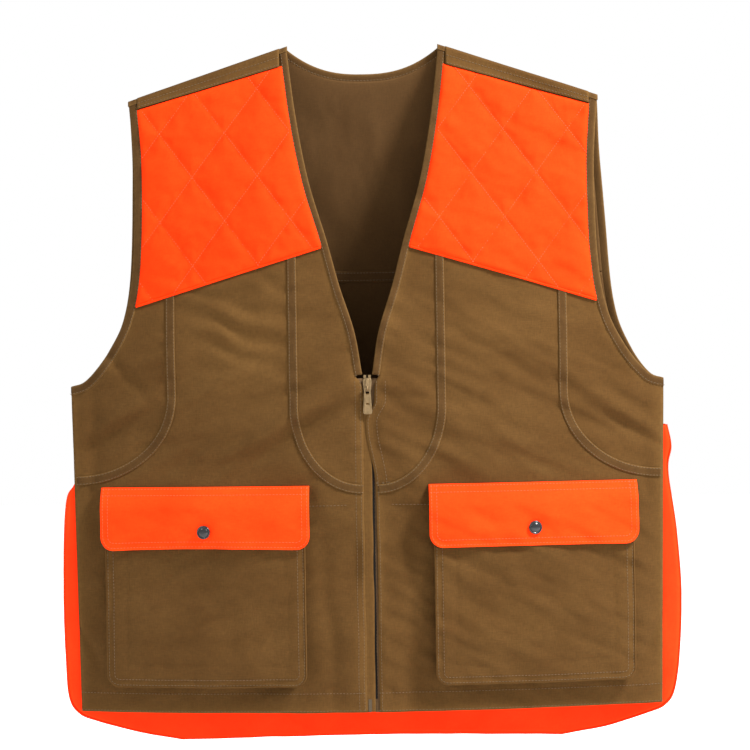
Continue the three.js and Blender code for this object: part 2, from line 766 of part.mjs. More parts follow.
// Slider: front plate over both rows of teeth, a web between the rows and a back plate
// behind the row it stays on.
const SLIDER_TOP_Z = CHAIN_TOP_Z;
const SLIDER_BOTTOM_Z = SLIDER_TOP_Z - SLIDER_HEIGHT;
const SLIDER_FRONT_Y = CHAIN_FRONT_Y - SLIDER_CLEARANCE - SLIDER_PLATE;
const PIVOT_Y = SLIDER_FRONT_Y - BAIL_REACH;
const PIVOT_Z = SLIDER_BOTTOM_Z + BAIL_OUTER + BAIL_RISE;

function slider() {
  const half = SLIDER_HALF_WIDTH;
  const web = SLIDER_WEB / 2;
  const frontBack = CHAIN_FRONT_Y - SLIDER_CLEARANCE;
  const backFront = CHAIN_BACK_Y + SLIDER_CLEARANCE;
  const section = [
    [-half, SLIDER_FRONT_Y],
    [half, SLIDER_FRONT_Y],
    [half, frontBack],
    [web, frontBack],
    [web, backFront + SLIDER_PLATE],
    [-half, backFront + SLIDER_PLATE],
    [-half, backFront],
    [-web, backFront],
    [-web, frontBack],
    [-half, frontBack],
  ];
  const body = plate(section, SLIDER_BOTTOM_Z, SLIDER_TOP_Z);
  // plate() reads its outline as X and Z: swap Y and Z to stand it upright.
  const upright = rebuilt(body, (x, y, z) => [x, z, y]);
  const ring = new THREE.Shape().absarc(0, 0, BAIL_OUTER, 0, Math.PI * 2, false);
  ring.holes.push(new THREE.Path().absarc(0, 0, BAIL_INNER, 0, Math.PI * 2, true));
  const bail = new THREE.ExtrudeGeometry(ring, {
    depth: BAIL_WIDTH,
    bevelEnabled: false,
    curveSegments: 10,
  });
  bail.rotateY(Math.PI / 2);
  bail.translate(-BAIL_WIDTH / 2, PIVOT_Y, PIVOT_Z);
  return joined(upright, bail);
}

// Pull tab, hanging from the slider's bail.
function pullTab() {
  const outline = new THREE.Shape();
  outline.moveTo(-PULL_TOP_HALF, PULL_BAR_HALF);
  outline.lineTo(-PULL_BOTTOM_HALF, -PULL_LENGTH + PULL_CORNER_RISE);
  outline.lineTo(-PULL_BOTTOM_HALF + PULL_CORNER, -PULL_LENGTH);
  outline.lineTo(PULL_BOTTOM_HALF - PULL_CORNER, -PULL_LENGTH);
  outline.lineTo(PULL_BOTTOM_HALF, -PULL_LENGTH + PULL_CORNER_RISE);
  outline.lineTo(PULL_TOP_HALF, PULL_BAR_HALF);
  const slotHalf = BAIL_WIDTH / 2 + PULL_SLOT_GAP;
  const slotBottom = -2 * BAIL_OUTER;
  const slot = new THREE.Path();
  slot.moveTo(-slotHalf, -PULL_BAR_HALF);
  slot.lineTo(slotHalf, -PULL_BAR_HALF);
  slot.lineTo(slotHalf, slotBottom);
  slot.lineTo(-slotHalf, slotBottom);
  outline.holes.push(slot);
  const gripHole = new THREE.Path();
  gripHole.absarc(0, -GRIP_HOLE_DROP, GRIP_HOLE_RADIUS, 0, Math.PI * 2, true);
  outline.holes.push(gripHole);
  const tab = new THREE.ExtrudeGeometry(outline, {
    depth: PULL_THICKNESS,
    bevelEnabled: false,
    curveSegments: 6,
  });
  tab.rotateX(Math.PI / 2);
  tab.translate(0, PIVOT_Y + PULL_THICKNESS / 2, PIVOT_Z);
  return tab;
}

// Armhole binding: down the front edge, round the side seam, up the back edge and over.
function armholeBinding() {
  const w = ARMHOLE_BINDING_WIDTH;
  const inFace = -CANVAS;
  const shares = evenly(ARMHOLE_STEPS);
  const station = (s, surface, extra) => {
    const [ex, ez] = armhole(s, 0, extra);
    const [ix, iz] = armhole(s, w, extra);
    const corner = (x, z, off) => new THREE.Vector3(x, surface(x, z, off), z);
    return [
      corner(ex, ez, BINDING_STANDOFF),
      corner(ix, iz, BINDING_STANDOFF),
      corner(ix, iz, inFace),
      corner(ex, ez, inFace),
    ];
  };
  const front = shares.map((s) => station(s, frontY, 0));
  const back = shares.map((s) => station(s, backY, BACK_ARMHOLE_EXTRA)).reverse();
  const reach = SEAM_FACE + BINDING_STANDOFF;
  const [sx, sz] = [SIDE_HALF_WIDTH, UNDERARM_Z];
  const seam = [
    new THREE.Vector3(sx + reach, 0, sz),
    new THREE.Vector3(sx + reach, 0, sz - w),
    new THREE.Vector3(sx + SEAM_GAP, 0, sz - w),
    new THREE.Vector3(sx + SEAM_GAP, 0, sz),
  ];
  const [ex, ez] = armhole(0, 0, 0);
  const [ix, iz] = armhole(0, w, 0);
  const crown = [
    new THREE.Vector3(ex, 0, ez + reach),
    new THREE.Vector3(ix, 0, iz + reach),
    new THREE.Vector3(ix, 0, iz + SEAM_GAP),
    new THREE.Vector3(ex, 0, ez + SEAM_GAP),
  ];
  return ribbon([...front, seam, ...back, crown], true);
}

// Back neck from the neck point to the centre: edge points and the binding's inner points.
function backNeckStations() {
  const w = NECK_BINDING_WIDTH;
  const slant = shoulderZ(NECK_HALF_WIDTH + w);
  return evenly(8).map((v) => {
    const x = lerp(NECK_HALF_WIDTH, 0, v);
    const turn = (Math.min(1, v * 3) * Math.PI) / 2;
    const drop = v === 0 ? slant : Math.min(slant, -w * Math.sin(turn));
    const z = backNeckZ(x);
    return { edge: [x, z], inner: [x + w * Math.cos(turn), z + drop] };
  });
}

// Neck binding: up one front edge, round the back neck and down the other front edge.
function neckBinding() {
  const w = NECK_BINDING_WIDTH;
  const reach = SEAM_FACE + BINDING_STANDOFF;
  const square = (x, z, wx, wz, surface) => {
    const corner = (px, pz, off) => new THREE.Vector3(px, surface(px, pz, off), pz);
    return [
      corner(x, z, BINDING_STANDOFF),
      corner(x + wx, z + wz, BINDING_STANDOFF),
      corner(x + wx, z + wz, -CANVAS),
      corner(x, z, -CANVAS),
    ];
  };
  const half = [];
  for (const v of evenly(14)) {
    const z = lerp(NECK_BOTTOM_Z + SPLIT_GAP, 0, v);
    const wz = v === 1 ? shoulderZ(NECK_HALF_WIDTH + w) : 0;
    half.push(square(neckX(z), z, w, wz, frontY));
  }
  const crownX = NECK_HALF_WIDTH;
  const crownZ = shoulderZ(crownX + w);
  half.push([
    new THREE.Vector3(crownX, 0, reach),
    new THREE.Vector3(crownX + w, 0, crownZ + reach),
    new THREE.Vector3(crownX + w, 0, crownZ + SEAM_GAP),
    new THREE.Vector3(crownX, 0, SEAM_GAP),
  ]);
  const backHalf = backNeckStations().map(({ edge, inner }) =>
    square(edge[0], edge[1], inner[0] - edge[0], inner[1] - edge[1], backY),
  );
  half.push(...backHalf.slice(0, -1));
  const centre = backHalf[backHalf.length - 1];
  const flipped = half.map((station) =>
    station.map((p) => new THREE.Vector3(-p.x, p.y, p.z)),
  );
  return ribbon([...half, centre, ...flipped.reverse()], false);
}

// Back panels: full width, shaped by the armholes and the side seams.
function backHalfX(z) {
  if (z > SPLIT_OUTER_Z) return armholeX(z, SHEET_INSET + EDGE_GAP, BACK_ARMHOLE_EXTRA);
  return sideX(z) - EDGE_GAP;
}

function yokeGrid() {
  const tip = armhole(0, SHEET_INSET, 0);
  const neckEdge = NECK_HALF_WIDTH + NECK_INSET;
  const outer = [1, 0.86, 0.72, 0.58, 0.47, 0].map((f) => {
    const x = lerp(neckEdge, tip[0], f);
    return [x, shoulderZ(x) - EDGE_GAP];
  });
  const neck = backNeckStations().map(({ inner }) => [inner[0], inner[1] - 2 * EDGE_GAP]);
  const half = [...outer, ...neck.slice(1, -1)];
  const centre = neck[neck.length - 1];
  const top = [...half, centre, ...half.map(([x, z]) => [-x, z]).reverse()];
  return evenly(6).map((v) =>
    top.map(([x, topZ]) => {
      const z = lerp(topZ, YOKE_Z + EDGE_GAP, v);
      const stretch = v === 0 ? 1 : backHalfX(z) / tip[0];
      return [x * lerp(1, stretch, Math.abs(x) / tip[0]), z];
    }),
  );
}

function lowerBackGrid() {
  const turnZ = [0.2, 0.4, 0.55, 0.67, 0.77, 0.85, 0.91, 0.96, 1];
  const upper = turnZ.map((v) => lerp(YOKE_Z - EDGE_GAP, SPLIT_OUTER_Z, v));
  const lower = evenly(9).slice(1);
  const rows = [
    YOKE_Z - EDGE_GAP,
    ...upper,
    ...lower.map((v) => lerp(SPLIT_OUTER_Z, HEM_Z, v)),
  ];
  return rows.map((z) => evenly(18).map((u) => [backHalfX(z) * (2 * u - 1), z]));
}

// Game bag outline, from one top corner round the bottom to the other.
const BAG_TOP_Z = UNDERARM_Z - BAG_TOP_DROP;
const BAG_BOTTOM_Z = HEM_Z - BAG_DROP;

function bagOutline() {
  const bagHeight = BAG_TOP_Z - BAG_BOTTOM_Z;
  const sideLength = BAG_SIDE[BAG_SIDE.length - 1][1];
  const sideRoom = bagHeight - BAG_CORNER[0][1];
  const stretch = Math.min(1, (sideRoom - BAG_CORNER_ROOM) / sideLength);
  const side = BAG_SIDE.map(([out, drop]) => [SIDE_HALF_WIDTH + out, BAG_TOP_Z - drop * stretch]);
  const corner = BAG_CORNER.map(([out, rise]) => [SIDE_HALF_WIDTH + out, BAG_BOTTOM_Z + rise]);
  const flatX = SIDE_HALF_WIDTH - BAG_FLAT_INSET;
  const flat = evenly(9).map((v) => [lerp(flatX, 0, v), BAG_BOTTOM_Z]);
  const half = [...side, ...corner, ...flat];
  const mirrored = half.slice(0, -1).map(([x, z]) => [-x, z]);
  return [...half, ...mirrored.reverse()];
}

// Half width of the bag at height z.
function bagHalfX(z) {
  const outline = bagOutline();
  const half = outline.slice(0, (outline.length + 1) / 2);
  for (let i = 1; i < half.length; i++) {
    const [a, b] = [half[i - 1], half[i]];
    if (z <= a[1] && z >= b[1] && a[1] > b[1]) {
      return lerp(a[0], b[0], (a[1] - z) / (a[1] - b[1]));
    }
  }
  return z > BAG_TOP_Z ? half[0][0] : SIDE_HALF_WIDTH - BAG_FLAT_INSET;
}

function bagRows(top, bottom) {
  const knots = bagOutline()
    .map(([, z]) => z)
    .filter((z, i, all) => z < top - 4 && z > bottom + 2 && all.indexOf(z) === i);
  return [top, ...knots.sort((a, b) => b - a), bottom];
}

function bagGrid(top, bottom, inset) {
  return bagRows(top, bottom).map((z) =>
    evenly(16).map((u) => [(bagHalfX(z - inset) - inset) * (2 * u - 1), z]),
  );
}

function bagGusset() {
  const outline = bagOutline();
  const stations = outline.map(([x, z], i) => {
    const [ax, az] = outline[Math.max(0, i - 1)];
    const [bx, bz] = outline[Math.min(outline.length - 1, i + 1)];
    const size = Math.hypot(bx - ax, bz - az);
    const [nx, nz] = [-(bz - az) / size, (bx - ax) / size];
    const corner = (inset, off) => {
      const [px, pz] = [x - nx * inset, z - nz * inset];
      return new THREE.Vector3(px, backY(px, pz, off), pz);
    };
    const near = LAYER_GAP;
    const far = LAYER_GAP + BAG_DEPTH;
    return [corner(0, near), corner(0, far), corner(BAG_CLOTH, far), corner(BAG_CLOTH, near)];
  });
  return ribbon(stations, false);
}

// Y of the bag's outer panel: off the gusset by a gap, fuller in the middle.
function bagY(x, z, off) {
  const across = 1 - Math.min(1, Math.abs(x) / (SIDE_HALF_WIDTH + BAG_BULGE_SIDE)) ** 2;
  const start = BAG_TOP_Z + BAG_BULGE_START;
  const down = Math.sin((Math.PI * (start - z)) / (start - BAG_BOTTOM_Z));
  const bulge = BAG_BULGE * across * Math.max(0, down);
  return backY(x, z, BAG_DEPTH + 2 * LAYER_GAP + bulge + off);
}

// ---- Assembly ----

add("back_yoke_panel", sheet(yokeGrid(), backY, 0, -CANVAS), CANVAS_LOOK);
add("back_lower_panel", sheet(lowerBackGrid(), backY, 0, -CANVAS), CANVAS_LOOK);
add("neck_binding", neckBinding(), TRIM_LOOK);

const YOKE_TAPE_NEAR = -CANVAS - 2 * LAYER_GAP;
const YOKE_TAPE_HALF = backHalfX(YOKE_Z) - 2 * ARMHOLE_BINDING_WIDTH;
add(
  "back_yoke_seam_tape",
  sheet(
    stripGrid(
      -YOKE_TAPE_HALF,
      YOKE_TAPE_HALF,
      YOKE_Z + YOKE_TAPE_HEIGHT / 2,
      YOKE_Z - YOKE_TAPE_HEIGHT / 2,
      18,
      1,
    ),
    backY,
    YOKE_TAPE_NEAR,
    YOKE_TAPE_NEAR - YOKE_TAPE_THICKNESS,
  ),
  TRIM_LOOK,
);

const HEM_NEAR = -CANVAS - LAYER_GAP;
const HEM_FAR = HEM_NEAR - CANVAS;
const HEM_OUTER_X = sideX(HEM_Z) - HEM_SIDE_INSET;
add(
  "back_hem",
  sheet(
    stripGrid(-HEM_OUTER_X, HEM_OUTER_X, HEM_Z + HEM_HEIGHT, HEM_Z, 20, 1),
    backY,
    HEM_NEAR,
    HEM_FAR,
  ),
  TRIM_LOOK,
);

const LINER_INSET = BAG_CLOTH + LAYER_GAP;
add(
  "game_bag_liner",
  sheet(
    bagGrid(BAG_TOP_Z - LINER_TOP_DROP, BAG_BOTTOM_Z + LINER_INSET, LINER_INSET),
    backY,
    LAYER_GAP,
    LAYER_GAP + LINER_CLOTH,
  ),
  ORANGE_LOOK,
);
add("game_bag_gusset", bagGusset(), ORANGE_LOOK);
const BAG_PANEL_TOP_Z = BAG_TOP_Z - BAG_BINDING_HEIGHT - EDGE_GAP;
add(
  "game_bag_back",
  sheet(bagGrid(BAG_PANEL_TOP_Z, BAG_BOTTOM_Z, 0), bagY, 0, BAG_CLOTH),
  ORANGE_LOOK,
);
add(
  "game_bag_top_binding",
  sheet(
    bagGrid(BAG_TOP_Z, BAG_TOP_Z - BAG_BINDING_HEIGHT, 0),
    bagY,
    -BAG_BINDING_BACK,
    BAG_CLOTH + BAG_BINDING_FRONT,
  ),
  TRIM_LOOK,
);

for (const [side, sign] of [
  ["right", -1],
  ["left", 1],
]) {
  const put = (name, geometry, look) => add(side + "_" + name, onSide(geometry, sign), look);

  put("front_upper_panel", sheet(upperFrontGrid(), frontY, 0, -CANVAS), CANVAS_LOOK);
  put("armhole_binding", armholeBinding(), TRIM_LOOK);
  put("shoulder_strip", shoulderStrip(), CANVAS_LOOK);
  put(
    "shoulder_patch",
    sheet(
      shoulderGrid(
        PATCH_INNER_TOP - EDGE_GAP,
        PATCH_OUTER_TOP - EDGE_GAP,
        PATCH_INNER_BOTTOM,
        PATCH_OUTER_BOTTOM,
        9,
      ),
      frontY,
      TAPE_NEAR,
      TAPE_NEAR + PATCH_THICKNESS,
    ),
    ORANGE_LOOK,
  );
  put(
    "bib_tape_upper",
    frontTape(tapeRunAbove(BIB_X), TAPE_WIDTH, TAPE_NEAR, TAPE_FAR),
    TRIM_LOOK,
  );
  put(
    "side_tape_upper",
    frontTape(tapeRunAbove(SIDE_TAPE_X), TAPE_WIDTH, TAPE_NEAR, TAPE_FAR),
    TRIM_LOOK,
  );

  put("front_lower_panel", sheet(lowerFrontGrid(), frontY, 0, -CANVAS), CANVAS_LOOK);
  const bib = tapeRunBelow(BIB_X, UNDERARM_Z - BIB_BEND, FRONT_EDGE_X + 1, UNDERARM_Z - BIB_END);
  put("bib_tape_lower", frontTape(bib, TAPE_WIDTH, TAPE_NEAR, TAPE_FAR), TRIM_LOOK);
  const sideBend = splitZ(SIDE_TAPE_X) - SIDE_TAPE_BEND;
  const sideEnd = [SIDE_HALF_WIDTH - TAPE_WIDTH / 2, UNDERARM_Z - SIDE_TAPE_END];
  const sidePath = tapeRunBelow(SIDE_TAPE_X, sideBend, sideEnd[0], sideEnd[1]);
  put("side_tape_lower", frontTape(sidePath, TAPE_WIDTH, TAPE_NEAR, TAPE_FAR), TRIM_LOOK);
  const hemStart = FRONT_EDGE_X + FACING_WIDTH + HEM_FACING_GAP;
  put(
    "front_hem",
    sheet(
      stripGrid(hemStart, HEM_OUTER_X, HEM_Z + HEM_HEIGHT, HEM_Z, 9, 1),
      frontY,
      HEM_NEAR,
      HEM_FAR,
    ),
    TRIM_LOOK,
  );
  const facingOff = ZIP_TAPE_OFF - ZIP_TAPE_THICKNESS - LAYER_GAP;
  put(
    "front_facing",
    sheet(
      stripGrid(FRONT_EDGE_X, FRONT_EDGE_X + FACING_WIDTH, ZIP_TOP_Z - FACING_TOP_DROP, HEM_Z, 2, 8),
      frontY,
      facingOff,
      facingOff - FACING_THICKNESS,
    ),
    CANVAS_LOOK,
  );
  put(
    "zip_tape",
    sheet(
      stripGrid(ZIP_TAPE_INNER_X, ZIP_TAPE_INNER_X + ZIP_TAPE_WIDTH, ZIP_TOP_Z, HEM_Z, 1, 8),
      frontY,
      ZIP_TAPE_OFF,
      ZIP_TAPE_OFF - ZIP_TAPE_THICKNESS,
    ),
    BLACK_LOOK,
  );
  put("zip_teeth", teeth(), BLACK_LOOK);
  put(
    "zip_top_stop",
    zipBlock(BEAD_INNER_X - STOP_REACH, BEAD_OUTER_X, ZIP_TOP_Z, STOP_HEIGHT, CHAIN_THICKNESS),
    BRASS_LOOK,
  );
  put("pocket_front", sheet(pocketGrid(), frontY, POCKET_DEPTH, POCKET_FACE), CANVAS_LOOK);
  put("pocket_gusset", pocketGusset(), CANVAS_LOOK);
  put("snap_stud", snapStud(), BRASS_LOOK);
  put("pocket_flap", flap(), ORANGE_LOOK);
  put("snap_socket", snapSocket(), BRASS_LOOK);
  put("snap_cap", snapCap(), BLACK_LOOK);
}

add(
  "zip_retaining_box",
  onSide(
    zipBlock(TOOTH_TIP_X - ZIP_END_STEP, BEAD_OUTER_X, BOX_TOP_Z, BOX_HEIGHT, BOX_THICKNESS),
    -1,
  ),
  BRASS_LOOK,
);
add(
  "zip_insertion_pin",
  zipBlock(TOOTH_TIP_X + ZIP_END_STEP, BEAD_OUTER_X, BOX_TOP_Z, BOX_HEIGHT, PIN_THICKNESS),
  BRASS_LOOK,
);
add("zip_slider", slider(), BRASS_LOOK);
add("zip_pull", pullTab(), BRASS_LOOK);

export default group;
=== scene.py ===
"""Looks of a hunting vest: canvas body, quilted shoulders, flap pockets, front zip and game bag."""

import math

import bmesh
import bpy
import numpy as np
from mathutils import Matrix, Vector


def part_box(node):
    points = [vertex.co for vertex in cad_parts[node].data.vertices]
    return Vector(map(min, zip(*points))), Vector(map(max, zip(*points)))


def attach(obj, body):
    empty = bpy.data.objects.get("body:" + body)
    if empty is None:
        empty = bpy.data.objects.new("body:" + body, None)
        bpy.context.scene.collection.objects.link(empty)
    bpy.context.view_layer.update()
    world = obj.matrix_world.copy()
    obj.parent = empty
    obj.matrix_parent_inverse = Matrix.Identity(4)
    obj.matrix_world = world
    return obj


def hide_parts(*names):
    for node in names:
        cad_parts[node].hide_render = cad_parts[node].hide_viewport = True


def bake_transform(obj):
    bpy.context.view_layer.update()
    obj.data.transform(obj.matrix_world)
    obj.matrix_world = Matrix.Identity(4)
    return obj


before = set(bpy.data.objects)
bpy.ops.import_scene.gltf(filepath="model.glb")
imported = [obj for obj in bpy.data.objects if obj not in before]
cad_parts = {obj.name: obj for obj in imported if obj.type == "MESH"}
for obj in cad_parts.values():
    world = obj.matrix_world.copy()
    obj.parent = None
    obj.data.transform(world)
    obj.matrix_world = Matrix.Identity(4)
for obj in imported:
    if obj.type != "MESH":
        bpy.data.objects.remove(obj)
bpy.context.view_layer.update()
rng = np.random.default_rng(20)
MM = 0.001

# ---- Sizes, from the frame ----


def node_box(name):
    lo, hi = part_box(name)
    return np.array(lo) / MM, np.array(hi) / MM


lower_lo, lower_hi = node_box("left_front_lower_panel")
patch_lo = node_box("left_shoulder_patch")[0]
pocket_lo, pocket_hi = node_box("left_pocket_front")
flap_lo, flap_hi = node_box("left_pocket_flap")
bag_lo = node_box("game_bag_back")[0]
yoke_lo = node_box("back_yoke_panel")[0]
arm_lo = node_box("left_armhole_binding")[0]
neck_lo = node_box("neck_binding")[0]
cap_lo, cap_hi = node_box("left_snap_cap")
slider_lo, slider_hi = node_box("zip_slider")
pull_lo, pull_hi = node_box("zip_pull")
teeth_lo, teeth_hi = node_box("left_zip_teeth")

SIDE = lower_hi[0] + 0.3
HEM_Z = lower_lo[2]
HEM_TAPER = 6.0
UNDERARM_Z = arm_lo[2] + 9.0
NECK_HALF = 78.0
NECK_BOTTOM_Z = neck_lo[2] - 0.4
SHOULDER_TIP = 241.0
SHOULDER_DROP = 54.0
SLOPE = SHOULDER_DROP / (SHOULDER_TIP - NECK_HALF)
FRONT_BULGE = 45.0
BACK_BULGE = 35.0
SEAM_FACE = 1.5
BAG_TOP_Z = UNDERARM_Z - 48.0
BAG_BOTTOM_Z = bag_lo[2]
FLAP_TOP_Z = flap_hi[2]
FLAP_BOTTOM_Z = flap_lo[2]
POCKET_TOP_Z = pocket_hi[2]
POCKET_BOTTOM_Z = pocket_lo[2]
POCKET_X = (pocket_lo[0] + pocket_hi[0]) / 2
POCKET_HALF = (pocket_hi[0] - pocket_lo[0]) / 2
POCKET_CORNER = 13.0
FLAP_HALF = (flap_hi[0] - flap_lo[0]) / 2
FLAP_CORNER = 14.0
SNAP_Z = (cap_lo[2] + cap_hi[2]) / 2
CHAIN_Y = (teeth_lo[1] + teeth_hi[1]) / 2
YOKE_Z = yoke_lo[2] - 0.3

# ---- Smooth noise ----

_lattice = rng.random((8, 64, 64))


def noise(a, b, layer=0):
    """Smooth value noise from -1 to 1 over two arrays."""
    a, b = np.broadcast_arrays(np.asarray(a, float), np.asarray(b, float))
    ia, ib = np.floor(a).astype(int), np.floor(b).astype(int)
    fa, fb = a - ia, b - ib
    fa, fb = fa * fa * fa * (fa * (6 * fa - 15) + 10), fb * fb * fb * (fb * (6 * fb - 15) + 10)
    g = _lattice[layer % 8]
    v00 = g[ia % 64, ib % 64]
    v10 = g[(ia + 1) % 64, ib % 64]
    v01 = g[ia % 64, (ib + 1) % 64]
    v11 = g[(ia + 1) % 64, (ib + 1) % 64]
    v = (v00 * (1 - fa) + v10 * fa) * (1 - fb) + (v01 * (1 - fa) + v11 * fa) * fb
    return 2 * v - 1


def fractal(a, b, layer=0, octaves=3):
    total, gain = 0.0, 1.0
    for k in range(octaves):
        total = total + gain * noise(a * 2**k + 17.3 * k, b * 2**k + 9.1 * k, layer + k)
        gain *= 0.5
    return total


def bump(v, centre, width):
    return np.exp(-(((v - centre) / width) ** 2))


def smooth(v, low, high):
    t = np.clip((v - low) / (high - low), 0, 1)
    return t * t * (3 - 2 * t)


# ---- The garment's surface ----


def side_x(z):
    share = np.clip((UNDERARM_Z - z) / (UNDERARM_Z - HEM_Z), 0, 1)
    return SIDE - HEM_TAPER * share


def fullness(x, z):
    outward = np.abs(x) - NECK_HALF
    drop = -SLOPE * (np.hypot(outward, 30) + outward) / 2 - z
    eased = (np.hypot(drop, 25) + drop) / 2
    down = np.sin(math.pi / 2 * np.minimum(1, eased / 280))
    share = np.minimum(1, np.abs(x) / side_x(z))
    return down * (1 - share * share)


FOLD_HEIGHT = 1.55
# Folds of the front: height, then z0, x0, z share and x share of the distance across the fold,
# its start and width, its centre and reach in x, and its side (-1 right, 1 left, 0 both)
SLANTED_FOLDS = [
    (-4.2, -395, 70, 0.86, 0.5, 0, 8, 70, 50, -1),
    (3.4, -395, 70, 0.86, 0.5, 17, 9, 60, 60, -1),
    (-2.4, -395, 70, 0.86, 0.5, 36, 8, 80, 45, -1),
    (-2.2, -385, 250, 1, 0.55, 0, 7, 265, 34, 0),
    (1.6, -385, 250, 1, 0.55, 15, 9, 262, 36, 0),
    (-2.0, -610, 290, 1, -1.6, 0, 10, 292, 14, 0),
    (-1.5, -360, 50, 1, 0.12, 0, 6, 48, 38, 1),
    (-1.8, -330, 250, 1, -1.1, 0, 9, 255, 26, 0),
]


def front_folds(x, z):
    """Wrinkles of the front cloth in mm, outward. x below 0 is the wearer's right."""
    ax = np.abs(x)
    side = np.sign(x)
    low = smooth(-z, 215, 330)
    calm = 1 - 0.75 * bump(ax, 300, 16) - 0.5 * bump(z, -672, 14)
    slant = z + 0.45 * ax
    soft = 3.0 * fractal(x / 120 + 3, slant / 105, 0, 2) + 1.5 * fractal(x / 62, slant / 26 + 5, 2, 2)
    soft = soft + 0.45 * noise(x / 34, slant / 9.5 + 2, 4) + 0.22 * noise(x / 13, z / 8, 1)
    total = soft * calm * (0.5 + 0.5 * low)
    # ripples under the right patch
    under = (0.35 + 0.65 * (side < 0)) * bump(ax, 128, 58) * bump(z, -282, 40)
    total = total + 1.25 * under * np.sin((z + 0.28 * x) / 4.6 + 2.2 * noise(x / 40, z / 30, 3))
    # gathers along the seam tapes
    for seam_x in (75, 200):
        pull = np.exp(-np.abs(ax - seam_x) / 12) * smooth(-z, 215, 250) * (1 - smooth(-z, 380, 420))
        total = total + 0.8 * pull * noise(z / 11, side * seam_x / 9, 5)
    for height, z0, x0, z_share, x_share, start, width, centre, reach, only in SLANTED_FOLDS:
        along = (z - z0) * z_share + (ax - x0) * x_share
        here = 1 if only == 0 else side == only
        total = total + height * bump(along, start, width) * bump(ax, centre, reach) * here
    # long hanging folds beside the pockets
    total = total + 1.8 * bump(ax, 283, 9) * low * noise(z / 60, side * 3.0, 4) * calm
    total = total - 1.6 * bump(ax, 42 + 5 * noise(z / 90, side * 2.0, 5), 9) * smooth(-z, 460, 560)
    # fine pucker along the side tapes' and hem's stitches
    total = total + 0.35 * noise(x / 5.0, z / 30, 6) * bump(z, HEM_Z + 19, 9)
    seam_flat = smooth(ax, 48, 62) * (1 - smooth(ax, 274, 288)) * bump(z, FLAP_TOP_Z - 4, 20)
    total = total * (1 - 0.85 * seam_flat)
    held = (1 - bump(z, 0, 22)) * smooth(ax, 3, 16) * (1 - 0.8 * bump(z, NECK_BOTTOM_Z, 8) * bump(ax, 8, 10))
    return FOLD_HEIGHT * total * held


def back_folds(x, z):
    soft = 4.0 * fractal(x / 110 + 11, z / 140 + 4, 1) + 2.0 * fractal(x / 34, z / 70, 3)
    edge = smooth(-z, 20, 90) * (1 - bump(np.abs(x), SIDE, 26))
    return soft * edge


def front_y(x, z, off=0.0):
    return -SEAM_FACE - FRONT_BULGE * fullness(x, z) - off - front_folds(x, z)


def back_y(x, z, off=0.0):
    return SEAM_FACE + BACK_BULGE * fullness(x, z) + off + 0.7 * back_folds(x, z)


def spline(points, count=400):
    """Points evenly spaced along a smooth curve through the given ones."""
    p = np.array(points, float)
    ext = np.vstack([2 * p[0] - p[1], p, 2 * p[-1] - p[-2]])
    out = []
    for i in range(len(p) - 1):
        a, b, c, d = ext[i : i + 4]
        for t in np.linspace(0, 1, 40, endpoint=False):
            out.append(
                0.5 * (2 * b + (c - a) * t + (2 * a - 5 * b + 4 * c - d) * t**2
                       + (3 * b - a - 3 * c + d) * t**3)
            )
    out.append(p[-1])
    return resample(np.array(out), count)


def resample(points, count):
    p = np.asarray(points, float)
    step = np.linalg.norm(np.diff(p, axis=0), axis=1)
    s = np.concatenate([[0], np.cumsum(step)])
    want = np.linspace(0, s[-1], count)
    return np.stack([np.interp(want, s, p[:, k]) for k in range(p.shape[1])], axis=1)


def length_of(points):
    return float(np.linalg.norm(np.diff(points, axis=0), axis=1).sum())


def shifted(path, distance):
    """A path of [x, z] moved sideways, to its left as it runs."""
    t = np.gradient(path, axis=0)
    t /= np.linalg.norm(t, axis=1)[:, None] + 1e-9
    distance = np.broadcast_to(np.asarray(distance, float), len(path))[:, None]
    return path + distance * np.stack([-t[:, 1], t[:, 0]], axis=1)


NECK_SHAPE = [(0, 0), (0.21, 0.12), (0.41, 0.29), (0.59, 0.53), (0.73, 0.7), (0.87, 0.9), (1, 1)]
_neck = spline([[NECK_HALF - 73 * b, NECK_BOTTOM_Z * a] for a, b in NECK_SHAPE])
_arm = spline(
    [
        [SHOULDER_TIP, -SHOULDER_DROP],
        [SHOULDER_TIP - 5, -SHOULDER_DROP - 70],
        [SHOULDER_TIP - 3, UNDERARM_Z + 126],
        [SIDE - 57, UNDERARM_Z + 69],
        [SIDE - 37, UNDERARM_Z + 30],
        [SIDE - 16, UNDERARM_Z + 6],
        [SIDE, UNDERARM_Z],
    ]
)


# How far the back's armhole edge shows past the front's, on each side
BACK_EXTRA = {1: 13.0, -1: 4.5}


def neck_x(z):
    return np.interp(-np.asarray(z, float), -_neck[:, 1], _neck[:, 0])


def arm_path(inset, extra=0.0):
    """Armhole line from the shoulder tip to the side seam, moved in by inset."""
    p = _arm.copy()
    s = np.linspace(0, 1, len(p))
    p[:, 0] += extra * np.sin(math.pi * s)
    moved = shifted(p, -inset)
    moved[0] = p[0] + inset * np.array([-1, SLOPE]) / math.hypot(1, SLOPE)
    moved[-1] = p[-1] + [0, -inset]
    return moved


def front_edge_x(z, side):
    """Each front's free edge beside the zip."""
    z = np.asarray(z, float)
    edge = np.full_like(z, 4.8) + 0.5 * noise(z / 40, 3.0 * side, 2)
    if side > 0:
        edge = edge + 2.4 - 9.5 * smooth(-z, 362, 384) * (1 - smooth(-z, 388, 448))
        edge = edge + 0.6 * smooth(-z, 440, 470)
    return edge


def chain_lean(z):
    """How far the closed rows of teeth lean to the wearer's left below the slider."""
    return 2.2 * smooth(-np.asarray(z, float), 356, 420)


# ---- Mesh kit ----


def pairs(a, b):
    """Places [a, b] from two arrays that broadcast together."""
    return np.stack(np.broadcast_arrays(np.asarray(a, float), np.asarray(b, float)), axis=-1)


